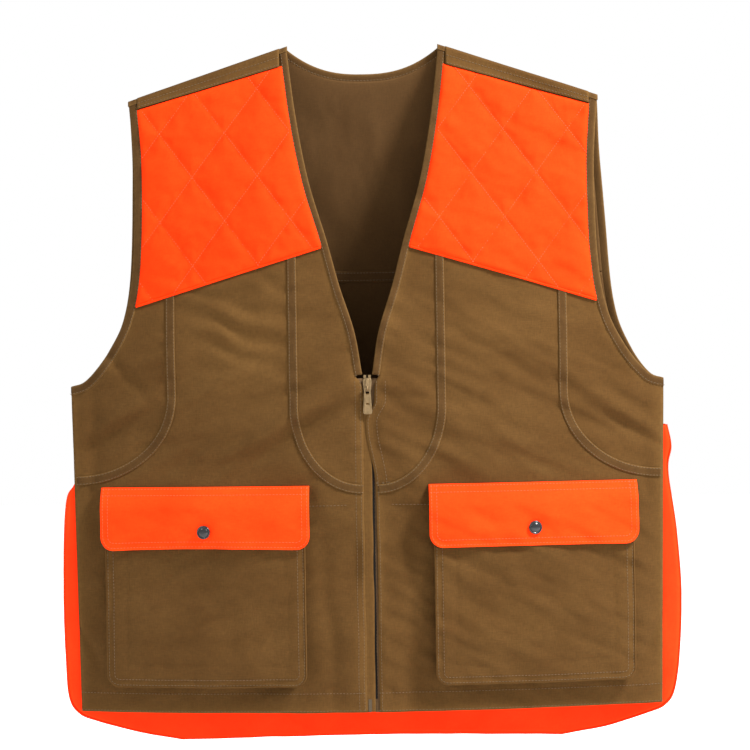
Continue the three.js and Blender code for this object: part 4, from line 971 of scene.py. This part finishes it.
    # Facing, zip tape and hem behind the front
    z_run = np.linspace(NECK_BOTTOM_Z - 4, HEM_Z, 130)
    edge = front_edge_x(z_run, side) - 0.2
    grid = here(fan(pairs(edge, z_run), pairs(edge + 24, z_run), 12))
    sheet_piece(f"{word}_front_facing", grid, front_y, -2.7, 0.9, INSIDE, rigid, [f"{word}_front_facing"])
    inner = pairs(1.4 if side < 0 else 3.4, z_run)
    grid = here(fan(inner, inner + [12.6, 0], 10))
    sheet_piece(f"{word}_zip_tape", grid, front_y, -1.55, 0.6, ZIP_TAPE, rigid, [f"{word}_zip_tape"])
    if side < 0:
        z_lip = np.linspace(-355, HEM_Z + 0.5, 150)
        lip_far = 1.4 + chain_lean(z_lip) + 0.4 * noise(z_lip / 28, 1.0, 3)
        grid = fan(pairs(-front_edge_x(z_lip, side) - 1.0, z_lip), pairs(lip_far, z_lip), 9)
        sheet_piece("right_zip_lip", grid, front_y, -0.6, 0.3, CANVAS, rigid, (), "stretched")
    z_run = np.linspace(HEM_Z + 20, HEM_Z, 9)
    grid = here(fan(pairs(31.8, z_run), pairs(289, z_run), 90))
    sheet_piece(f"{word}_front_hem", grid, front_y, -1.45, 1.0, INSIDE, rigid, [f"{word}_front_hem"])

    # Pocket: a front and a pleated side wall
    zr = arc_rows(POCKET_TOP_Z, POCKET_BOTTOM_Z, POCKET_CORNER, 78)
    half = corner_half(zr, POCKET_BOTTOM_Z, POCKET_HALF, POCKET_CORNER)
    u = np.linspace(-1, 1, 92)
    gx = POCKET_X + half[:, None] * u[None, :]
    gz = np.broadcast_to(zr[:, None], gx.shape)
    edge_in = np.minimum(POCKET_HALF - np.abs(gx - POCKET_X), gz - POCKET_BOTTOM_Z)
    crease = 0.9 * bump(edge_in, 22, 2.2) * (0.6 + 0.4 * noise(gx / 30, gz / 30, 2))
    seat = 1.2 * bump(edge_in, 0, 6) + 0.5 * bump(edge_in, 5.2, 2.0)
    sag = 1.6 * fractal(gx / 70 + side * 5, gz / 80, 5) + 0.6 * fractal(gx / 24, gz / 30 + side, 6)
    pucker = 0.25 * noise(gx / 4, gz / 4, 7) * bump(edge_in, 6, 5)
    puff = sag * smooth(edge_in, 2, 26) - crease - seat + pucker
    sheet_piece(
        f"{word}_pocket_front", here(pairs(gx, gz)), front_y, 13.3, 1.4, CANVAS, rigid,
        [f"{word}_pocket_front"], puff=puff, wear=np.exp(-edge_in / 3.5),
    )

    def pocket_loop(inset):
        return u_loop(inset, POCKET_HALF, POCKET_CORNER, POCKET_TOP_Z - 4, POCKET_BOTTOM_Z, 40, 420)

    loop = pocket_loop(0.2)
    depths = np.array([0.4, 3.2, 5.8, 8.4, 11.0, 12.8])
    pleat = np.array([0.0, 2.6, 4.4, 2.4, 0.6, 0.2])
    face, back = [], []
    for d, inward in zip(depths, pleat):
        wave = 0.8 * noise(np.arange(420) / 16.0, d / 5, 1)
        for shift, out in ((0.0, face), (1.2, back)):
            path = shifted(loop, inward + wave * (inward > 1) + shift)
            x, z = side * path[:, 0], path[:, 1]
            out.append(np.stack([x, front_y(x, z, d), z], axis=-1))
    face, back = np.array(face), np.array(back)
    along = np.linspace(0, length_of(loop), 420)
    uv = pairs(along[None, :], depths[:, None] * 1.3)
    wall = slab(f"{word}_pocket_gusset", face, back, uv, CANVAS, np.zeros(face.shape[:2]))
    finish_piece(wall, rigid, [f"{word}_pocket_gusset"])

    def pocket_surface(x, z, off):
        e = np.minimum(POCKET_HALF - np.abs(np.abs(x) - POCKET_X), z - POCKET_BOTTOM_Z)
        lift = 1.6 * fractal(np.abs(x) / 70 + side * 5, z / 80, 5)
        lift = (lift + 0.6 * fractal(np.abs(x) / 24, z / 30 + side, 6)) * smooth(e, 2, 26)
        return front_y(x, z, off + lift - 1.2 * bump(e, 0, 6) - 0.5 * bump(e, 5.2, 2.0))

    rows_here = [here(pocket_loop(inset)) for inset in (2.6, 8.2)]
    sewn(f"{word}_pocket_stitches", rows_here, pocket_surface, 13.45, rigid, size=0.27)

    # Flap
    zr = arc_rows(FLAP_TOP_Z, FLAP_BOTTOM_Z, FLAP_CORNER, 44)
    half = corner_half(zr, FLAP_BOTTOM_Z, FLAP_HALF, FLAP_CORNER)
    gx = POCKET_X + half[:, None] * u[None, :]
    gz = np.broadcast_to(zr[:, None], gx.shape).copy()
    bow = 2.2 if side < 0 else 0.9
    down = (FLAP_TOP_Z - gz) / (FLAP_TOP_Z - FLAP_BOTTOM_Z)
    gz = gz + bow * down**2 * (1 - ((gx - POCKET_X) / FLAP_HALF) ** 2)

    def flap_lift(x, z):
        share = np.clip((FLAP_TOP_Z - z) / (FLAP_TOP_Z - (POCKET_TOP_Z + 1)), 0, 1)
        ramp = 1.8 + (17.4 - 1.8) * (1 - (1 - share) ** 1.9)
        e = np.minimum(FLAP_HALF - np.abs(np.abs(x) - POCKET_X), z - FLAP_BOTTOM_Z)
        e = np.maximum(e, 0)
        wave = 0.9 * fractal(x / 60 + 2, z / 45, 7) + 0.45 * fractal(x / 19, z / 21, 2)
        dip = 1.4 * np.exp(-(((np.abs(x) - POCKET_X) ** 2 + (z - SNAP_Z) ** 2) / 14.0**2))
        dip = dip - 0.9 * bump(e, 0, 3.0) - 0.35 * bump(e, 6.3, 1.8)
        curl = -1.6 * smooth(-z, -(FLAP_BOTTOM_Z + 16), -FLAP_BOTTOM_Z) * noise(x / 34, side * 4.0, 3)
        return ramp + wave * share * smooth(e, 1, 14) - np.maximum(dip, -2) * share + curl * share

    grid = here(pairs(gx, gz))
    face, back = (
        np.stack([side * gx, front_y(side * gx, gz, flap_lift(side * gx, gz) - depth), gz], axis=-1)
        for depth in (0, 2.2)
    )
    edge_in = np.minimum(FLAP_HALF - np.abs(gx - POCKET_X), gz - FLAP_BOTTOM_Z)
    flap = slab(f"{word}_pocket_flap", face, back, grid, FLAP, np.exp(-np.maximum(edge_in, 0) / 2.5))
    finish_piece(flap, f"{word}_flap", [f"{word}_pocket_flap"])

    def flap_surface(x, z, off):
        return front_y(x, z, flap_lift(x, z) + off)

    def flap_loop(inset):
        path = u_loop(inset, FLAP_HALF, FLAP_CORNER, FLAP_TOP_Z - 2, FLAP_BOTTOM_Z, 16, 300)
        share = (FLAP_TOP_Z - path[:, 1]) / (FLAP_TOP_Z - FLAP_BOTTOM_Z)
        path[:, 1] += bow * share**2 * (1 - ((path[:, 0] - POCKET_X) / FLAP_HALF) ** 2)
        return path

    across = np.linspace(POCKET_X - FLAP_HALF + 2, POCKET_X + FLAP_HALF - 2, 120)
    rows_here = [here(flap_loop(inset)) for inset in (2.4, 7.6)]
    rows_here += [here(pairs(across, FLAP_TOP_Z - drop)) for drop in (1.8, 8.0)]
    sewn(f"{word}_flap_stitches", rows_here, flap_surface, 0.1, f"{word}_flap", THREAD_ORANGE, size=0.27)

    # Snap: cap and socket on the flap, stud on the pocket
    snap_pieces = (
        ("cap", SNAP_CAP, 18.7, SNAP, f"{word}_flap"),
        ("socket", SNAP_SOCKET, 14.7, STEEL, f"{word}_flap"),
        ("stud", SNAP_STUD, 13.85, STEEL, rigid),
    )
    for label, profile, off, metal, body in snap_pieces:
        node = f"{word}_snap_{label}"
        lathe(node, profile, side, off, metal, body, [node])

    # Zip teeth: a bead on the tape and moulded teeth that mesh with the other row
    pitch = 3.4
    chain_top, chain_bottom = teeth_hi[2], teeth_lo[2]
    boxes = []
    z = chain_top - 1.2 - (pitch / 2 if side > 0 else 0)
    while z > chain_bottom + 1.2:
        lean = float(chain_lean(z))
        tip, root = -0.9 * side + lean, 3.4 * side + lean
        low, high = 1.5 * side + lean, 3.1 * side + lean
        boxes.append(((tip, root), (CHAIN_Y - 0.9, CHAIN_Y + 1.25), (z - 0.75, z + 0.75), 0.8))
        boxes.append(((low, high), (CHAIN_Y - 0.8, CHAIN_Y + 1.0), (z - 1.6, z + 1.6), 1.0))
        z -= pitch
    block_row(f"{word}_zip_teeth", boxes, TEETH, rigid, [f"{word}_zip_teeth"])
    end_node = "zip_retaining_box" if side < 0 else "zip_insertion_pin"
    fittings = (
        (f"{word}_zip_top_stop", "", 0.9, BRASS), (end_node, "_shape", 1.0, DARK_BRASS),
    )
    for node, ending, taper, metal in fittings:
        spans = np.transpose(node_box(node))
        block_row(node + ending, [(spans[0][::side], *spans[1:], taper)], metal, rigid, [node])

# ---- Back ----


def back_neck_z(x):
    share = np.minimum(1, np.abs(x) / NECK_HALF)
    return -26.0 * (1 - share**2.5)


def back_top_z(x):
    """Top edge of the back cloth, under its binding and strips."""
    x = np.abs(x)
    shoulder = -SLOPE * (x - NECK_HALF) - 0.6
    neck = back_neck_z(x) - 6.8
    return np.minimum(np.where(x < NECK_HALF, neck, shoulder), -SLOPE * 8 - 3)


def back_x(u, z):
    """X at share u from -1 to 1 of the back's width, at height z."""
    u, z = np.broadcast_arrays(u, np.asarray(z, float))
    wide = {}
    for sign, extra in BACK_EXTRA.items():
        arm = arm_path(7.5, extra)
        out = np.interp(-z, -arm[:, 1], arm[:, 0])
        wide[sign] = np.where(z > arm[-1, 1], out, side_x(z) - 0.3)
    return u * np.where(u > 0, wide[1], wide[-1])


u = np.linspace(-1, 1, 190)
top_x = 232.0 * u
top_z = back_top_z(top_x)
v = np.linspace(0, 1, 70)[:, None]
gz = top_z[None, :] * (1 - v) + YOKE_Z * v
gx = np.where(v == 0, top_x[None, :], back_x(u[None, :], np.minimum(gz, -54.5)))
ease = smooth(v, 0, 0.12)
gx = top_x[None, :] * (1 - ease) + gx * ease
sheet_piece("back_yoke_cloth", pairs(gx, gz), back_y, 0.0, 1.1, INSIDE, "shell", ["back_yoke_panel"])

zr = np.linspace(YOKE_Z, HEM_Z, 130)
grid = pairs(back_x(u[None, :], zr[:, None]), zr[:, None])
sheet_piece("back_lower_cloth", grid, back_y, 0.0, 1.1, INSIDE, "shell", ["back_lower_panel"])

xr = np.linspace(-205, 205, 120)
edges = [pairs(xr, YOKE_Z + rise) for rise in (6, -6)]
tape_piece("yoke_seam_tape", *edges, back_y, -1.9, 0.9, INSIDE, "shell", ["back_yoke_seam_tape"])
rows_here = [pairs(xr, YOKE_Z + rise) for rise in (3.8, -3.8)]
sewn("yoke_seam_stitches", rows_here, back_y, -2.95, "shell", size=0.3)
xr = np.linspace(-212, 212, 120)
rows_here = [pairs(xr, YOKE_Z + rise) for rise in (3, -3)]
sewn("yoke_outer_stitches", rows_here, back_y, 0.1, "shell", size=0.3)
xr = np.linspace(-289, 289, 150)
grid = fan(pairs(xr, HEM_Z + 20), pairs(xr, HEM_Z), 9)
sheet_piece("back_hem_fold", grid, back_y, -1.5, 1.0, INSIDE, "shell", ["back_hem"])

# Back neck binding
xr = np.linspace(-78, 78, 150)
edge = pairs(xr, back_neck_z(xr))
inner = shifted(edge, -8.0)
inner[0], inner[-1] = [-86, -SLOPE * 8], [86, -SLOPE * 8]
inner[:, 1] = np.minimum(inner[:, 1], -SLOPE * 8)
tape_piece("back_neck_binding", edge, inner, back_y, 1.5, 3.0, BINDING, "shell", ["neck_binding"])
sewn("back_neck_stitches", [inner[4:-4] + [0, 1.6]], back_y, -1.5, "shell", size=0.26)

# ---- Game bag ----

BAG_SIDE = [(4, 0), (8, 23), (4.5, 48), (12, 108), (16, 168), (14, 228)]
BAG_CORNER = [(8, 49), (-2, 32), (-21, 23), (-65, 9), (-109, 0)]
BAG_SIDE_RIGHT = [(-6, 0), (-6, 40), (0, 54), (7, 66), (10.5, 100), (12, 168), (11, 228)]


def bag_outline(side_points):
    points = [[SIDE + out, BAG_TOP_Z - drop] for out, drop in side_points]
    points += [[SIDE + out, BAG_BOTTOM_Z + rise] for out, rise in BAG_CORNER]
    return spline(points, 260)


bag_left, bag_right = bag_outline(BAG_SIDE), bag_outline(BAG_SIDE_RIGHT)


def bag_x(u, z):
    """X at share u from -1 to 1 of the bag's width, at height z."""
    z = np.asarray(z, float)
    left = np.interp(-z, -bag_left[:, 1], bag_left[:, 0])
    right = np.interp(-z, -bag_right[:, 1], bag_right[:, 0])
    return u * np.where(u > 0, left, right)


def bag_folds(x, z):
    low = smooth(-z, 640, 700)
    edge = smooth(np.abs(x), 288, 312)
    total = 2.2 * low * noise(x / 28, z / 60, 2) + 1.1 * fractal(x / 60, z / 60, 4)
    return total + 1.0 * edge * noise(z / 16, x / 40, 6)


def liner_y(x, z, off=0.0):
    return back_y(x, z, off) + np.abs(bag_folds(x, z)) * 0.8


def bag_y(x, z, off=0.0):
    across = 1 - np.minimum(1, np.abs(x) / (SIDE + 10)) ** 2
    start = BAG_TOP_Z + 60
    down = np.maximum(0, np.sin(math.pi * (start - z) / (start - BAG_BOTTOM_Z)))
    folds = 1.3 * bag_folds(x + 400, z + 90) * smooth(z, BAG_BOTTOM_Z, BAG_BOTTOM_Z + 25)
    return back_y(x, z, 24.9 + 14 * across * down + off) + folds


def bag_grid(top, bottom, inset, rows, cols=170):
    zs = np.concatenate(
        [np.linspace(top, bottom + 60, rows), bottom + 60 * (1 - np.sin(np.linspace(0, math.pi / 2, 40)))[1:]]
    )
    u = np.linspace(-1, 1, cols)[None, :]
    return pairs(bag_x(u, (zs - inset)[:, None]) - inset * u, zs[:, None])


grid = bag_grid(BAG_TOP_Z - 1, BAG_BOTTOM_Z + 1.9, 1.9, 90)
sheet_piece("game_bag_liner_cloth", grid, liner_y, 1.3, 0.8, BAG, "shell", ["game_bag_liner"])
grid = bag_grid(BAG_TOP_Z - 5, BAG_BOTTOM_Z, 0, 90)
sheet_piece("game_bag_back_cloth", grid, bag_y, 1.4, 1.2, BAG, "game_bag", ["game_bag_back"])
xr = np.linspace(-1, 1, 170)
top_edge, low_edge = (pairs(bag_x(xr, 0 * xr + z), z) for z in (BAG_TOP_Z, BAG_TOP_Z - 9))
nodes = ["game_bag_top_binding"]
tape_piece("game_bag_binding", top_edge, low_edge, bag_y, 2.1, 2.4, BINDING, "game_bag", nodes)
sewn("game_bag_binding_stitches", [low_edge + [0, 1.6]], bag_y, 2.1, "game_bag", size=0.27)
loop = np.vstack([bag_left, (bag_right * [-1, 1])[::-1][1:]])
loop = resample(loop, 700)
path = shifted(loop, -5.0)[14:-14]
sewn("game_bag_edge_stitches", [path], bag_y, 1.5, "game_bag", THREAD_ORANGE, size=0.27)

face, back = [], []
along = np.linspace(0, length_of(loop), 700)
for d in np.linspace(0.5, 24.6, 12):
    sag = 2.4 * math.sin(math.pi * (d - 0.5) / 24.1)
    wave = sag * (1 + 0.8 * noise(along / 22, d / 9, 3))
    for shift, out in ((0.2, face), (1.5, back)):
        path = shifted(loop, -(shift + wave))
        x, z = path[:, 0], path[:, 1]
        y0, y1 = liner_y(x, z, 0.5), bag_y(x, z, -0.2)
        out.append(np.stack([x, y0 + (y1 - y0) * (d - 0.5) / 24.1, z], axis=-1))
uv = pairs(along[None, :], np.linspace(0, 24, 12)[:, None])
wall = slab("game_bag_gusset_cloth", np.array(face), np.array(back), uv, BAG, np.zeros((12, 700)))
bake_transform(wall)
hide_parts("game_bag_gusset")

# ---- Slider and pull ----


def stamped(name, loops, front, back, bevel, body, nodes=()):
    """A brass plate with rounded edges from closed loops of [x, z]; later loops are holes."""
    curve = bpy.data.curves.new(name, "CURVE")
    curve.dimensions = "2D"
    curve.fill_mode = "BOTH"
    thickness = (back - front) * MM
    curve.extrude = thickness / 2 - bevel * MM
    curve.bevel_depth = bevel * MM
    curve.bevel_resolution = 2
    curve.offset = -bevel * MM
    for loop in loops:
        spline_ = curve.splines.new("POLY")
        spline_.points.add(len(loop) - 1)
        for point, (x, z) in zip(spline_.points, loop):
            point.co = (x * MM, z * MM, 0, 1)
        spline_.use_cyclic_u = True
    obj = bpy.data.objects.new(name, curve)
    bpy.context.collection.objects.link(obj)
    bpy.context.view_layer.update()
    mesh = bpy.data.meshes.new_from_object(obj.evaluated_get(bpy.context.evaluated_depsgraph_get()))
    bpy.data.objects.remove(obj)
    mesh.name = name
    middle = (front + back) / 2 * MM
    for vertex in mesh.vertices:
        x, z, y = vertex.co
        vertex.co = (x, middle - y, z)
    mesh.materials.clear()
    mesh.materials.append(BRASS)
    obj = bpy.data.objects.new(name, mesh)
    bpy.context.collection.objects.link(obj)
    bm = bmesh.new()
    bm.from_mesh(mesh)
    bmesh.ops.remove_doubles(bm, verts=bm.verts, dist=1e-6)
    bmesh.ops.recalc_face_normals(bm, faces=bm.faces)
    bm.to_mesh(mesh)
    bm.free()
    return finish_piece(obj, body, nodes)


def closed_spline(points, count=80):
    return spline(list(points) + [points[0]], count)[:-1]


top, low = slider_hi[2] + 0.5, slider_lo[2] - 0.3
plate = closed_spline([
    (-3.4, top - 0.6), (0, top), (3.4, top - 0.6), (4.5, top - 3), (4.1, top - 8), (3.3, low + 1), (0, low),
    (-3.3, low + 1), (-4.1, top - 8), (-4.5, top - 3),
])
front_face = CHAIN_Y - 3.1
stamped("slider_front_plate", [plate], front_face, front_face + 1.5, 0.45, "zip_slider", ["zip_slider"])
stamped("slider_back_plate", [plate], CHAIN_Y + 1.6, CHAIN_Y + 2.9, 0.45, "zip_slider")
raised = closed_spline([
    (-1.7, top - 1.6), (0, top - 1.1), (1.7, top - 1.6), (2.0, top - 6), (1.4, low + 3.2), (0, low + 2.6),
    (-1.4, low + 3.2), (-2.0, top - 6),
])
stamped("slider_bridge", [raised], front_face - 1.5, front_face + 0.3, 0.6, "zip_slider")


def tube(name, path, radius, material, body, nodes=(), turns=14, closed=False):
    """A round wire along points in mm."""
    p = np.array(path, float)
    t = np.gradient(p, axis=0)
    if closed:
        t = np.roll(p, -1, axis=0) - np.roll(p, 1, axis=0)
    t /= np.linalg.norm(t, axis=1)[:, None]
    side_axis = np.cross(t, [1.0, 0.0, 0.0])
    side_axis /= np.linalg.norm(side_axis, axis=1)[:, None] + 1e-9
    other = np.cross(t, side_axis)
    points = []
    for i in range(len(p)):
        for k in range(turns):
            a = 2 * math.pi * k / turns
            points.append(p[i] + radius * (math.cos(a) * side_axis[i] + math.sin(a) * other[i]))
    return skinned(name, points, turns, closed, material, body, nodes)


pivot_y, pivot_z = (pull_lo[1] + pull_hi[1]) / 2, pull_hi[2] - 0.7
ring = [
    (0.0, pivot_y + 1.95 * math.cos(a), pivot_z + 1.95 * math.sin(a))
    for a in np.linspace(0, 2 * math.pi, 28, endpoint=False)
]
tube("slider_bail", ring, 0.62, BRASS, "zip_slider", closed=True)

length = pull_hi[2] - pull_lo[2]
pt, pb = pull_hi[2], pull_lo[2]
outer = closed_spline([
    (-2.9, pt), (2.9, pt), (3.3, pt - 1.2), (3.7, pt - 10), (4.5, pb + 3.2), (4.1, pb + 0.9), (2.6, pb),
    (-2.6, pb), (-4.1, pb + 0.9), (-4.5, pb + 3.2), (-3.7, pt - 10), (-3.3, pt - 1.2),
], 120)
slot = closed_spline([
    (-1.6, pt - 1.5), (1.6, pt - 1.5), (1.8, pt - 2.4), (1.6, pt - 6.2), (0, pt - 6.8), (-1.6, pt - 6.2),
    (-1.8, pt - 2.4),
], 60)
moon = [(2.0 * math.cos(a), pt - 0.64 * length + 1.7 * math.sin(a)) for a in np.linspace(0, math.pi, 20)]
loops = [outer, slot, np.array(moon)]
stamped("zip_pull_plate", loops, pull_lo[1] - 0.1, pull_hi[1] + 0.1, 0.3, "zip_pull", ["zip_pull"])
rim_outer = closed_spline([
    (-2.6, pt - 8.4), (2.6, pt - 8.4), (3.0, pt - 12), (3.4, pb + 3.6), (2.4, pb + 1.5), (-2.4, pb + 1.5),
    (-3.4, pb + 3.6), (-3.0, pt - 12),
], 90)
rim_inner = rim_outer * [0.82, 1.0]
rim_inner[:, 1] = (rim_outer[:, 1] - (pt + pb) / 2 + 3.4) * 0.9 + (pt + pb) / 2 - 3.4
stamped("zip_pull_rim", [rim_outer, rim_inner], pull_lo[1] - 0.45, pull_lo[1] + 0.25, 0.2, "zip_pull")

# ---- Floor, light and camera ----

floor_mesh = bpy.data.meshes.new("floor")
span = 6.0
floor_mesh.from_pydata(
    [(-span, -span, 0), (span, -span, 0), (span, span, 0), (-span, span, 0)], [], [(0, 1, 2, 3)]
)
floor = bpy.data.objects.new("floor", floor_mesh)
bpy.context.collection.objects.link(floor)
floor.location.z = (BAG_BOTTOM_Z - 55) * MM
floor_look = Nodes("floor")
speck = floor_look.add("ShaderNodeTexNoise", Scale=3.0, Detail=4.0)
floor_look.link(
    floor_look.mix(speck.outputs[0], rgb(0.86, 0.86, 0.86), rgb(0.9, 0.9, 0.9)),
    floor_look.shader.inputs["Base Color"],
)
floor_look.shader.inputs["Roughness"].default_value = 0.9
floor_look.shader.inputs["Emission Color"].default_value = (1.0, 1.0, 1.0, 1.0)
floor_look.shader.inputs["Emission Strength"].default_value = 0.35
floor_mesh.materials.append(floor_look.material)

world = bpy.data.worlds.new("studio")
bpy.context.scene.world = world
world.use_nodes = True
background = world.node_tree.nodes["Background"]
background.inputs[0].default_value = (1.0, 1.0, 1.0, 1.0)
background.inputs[1].default_value = 1.0


def area_light(name, place, target, size, power):
    light = bpy.data.lights.new(name, "AREA")
    light.shape = "RECTANGLE"
    light.size, light.size_y = size
    light.energy = power
    obj = bpy.data.objects.new(name, light)
    obj.location = place
    obj.rotation_euler = (Vector(target) - Vector(place)).to_track_quat("-Z", "Y").to_euler()
    bpy.context.collection.objects.link(obj)
    obj.visible_camera = False
    return obj


area_light("key", (1.35, -0.85, 1.25), (0, 0, -0.35), (0.45, 0.45), 150)
area_light("rim", (-1.5, -0.7, 0.9), (0, 0, -0.35), (0.7, 0.7), 12)

camera = bpy.data.cameras.new("camera")
LENS, SENSOR, VIEW_WIDTH = 120, 36, 0.7725
camera.lens = LENS
camera.sensor_width = SENSOR
view = bpy.data.objects.new("camera", camera)
view.location = (0.0080, -VIEW_WIDTH * LENS / SENSOR, -0.3368)
view.rotation_euler = (math.pi / 2, math.radians(0.9), 0)
bpy.context.collection.objects.link(view)
bpy.context.scene.camera = view
bpy.context.scene.view_settings.view_transform = "Standard"
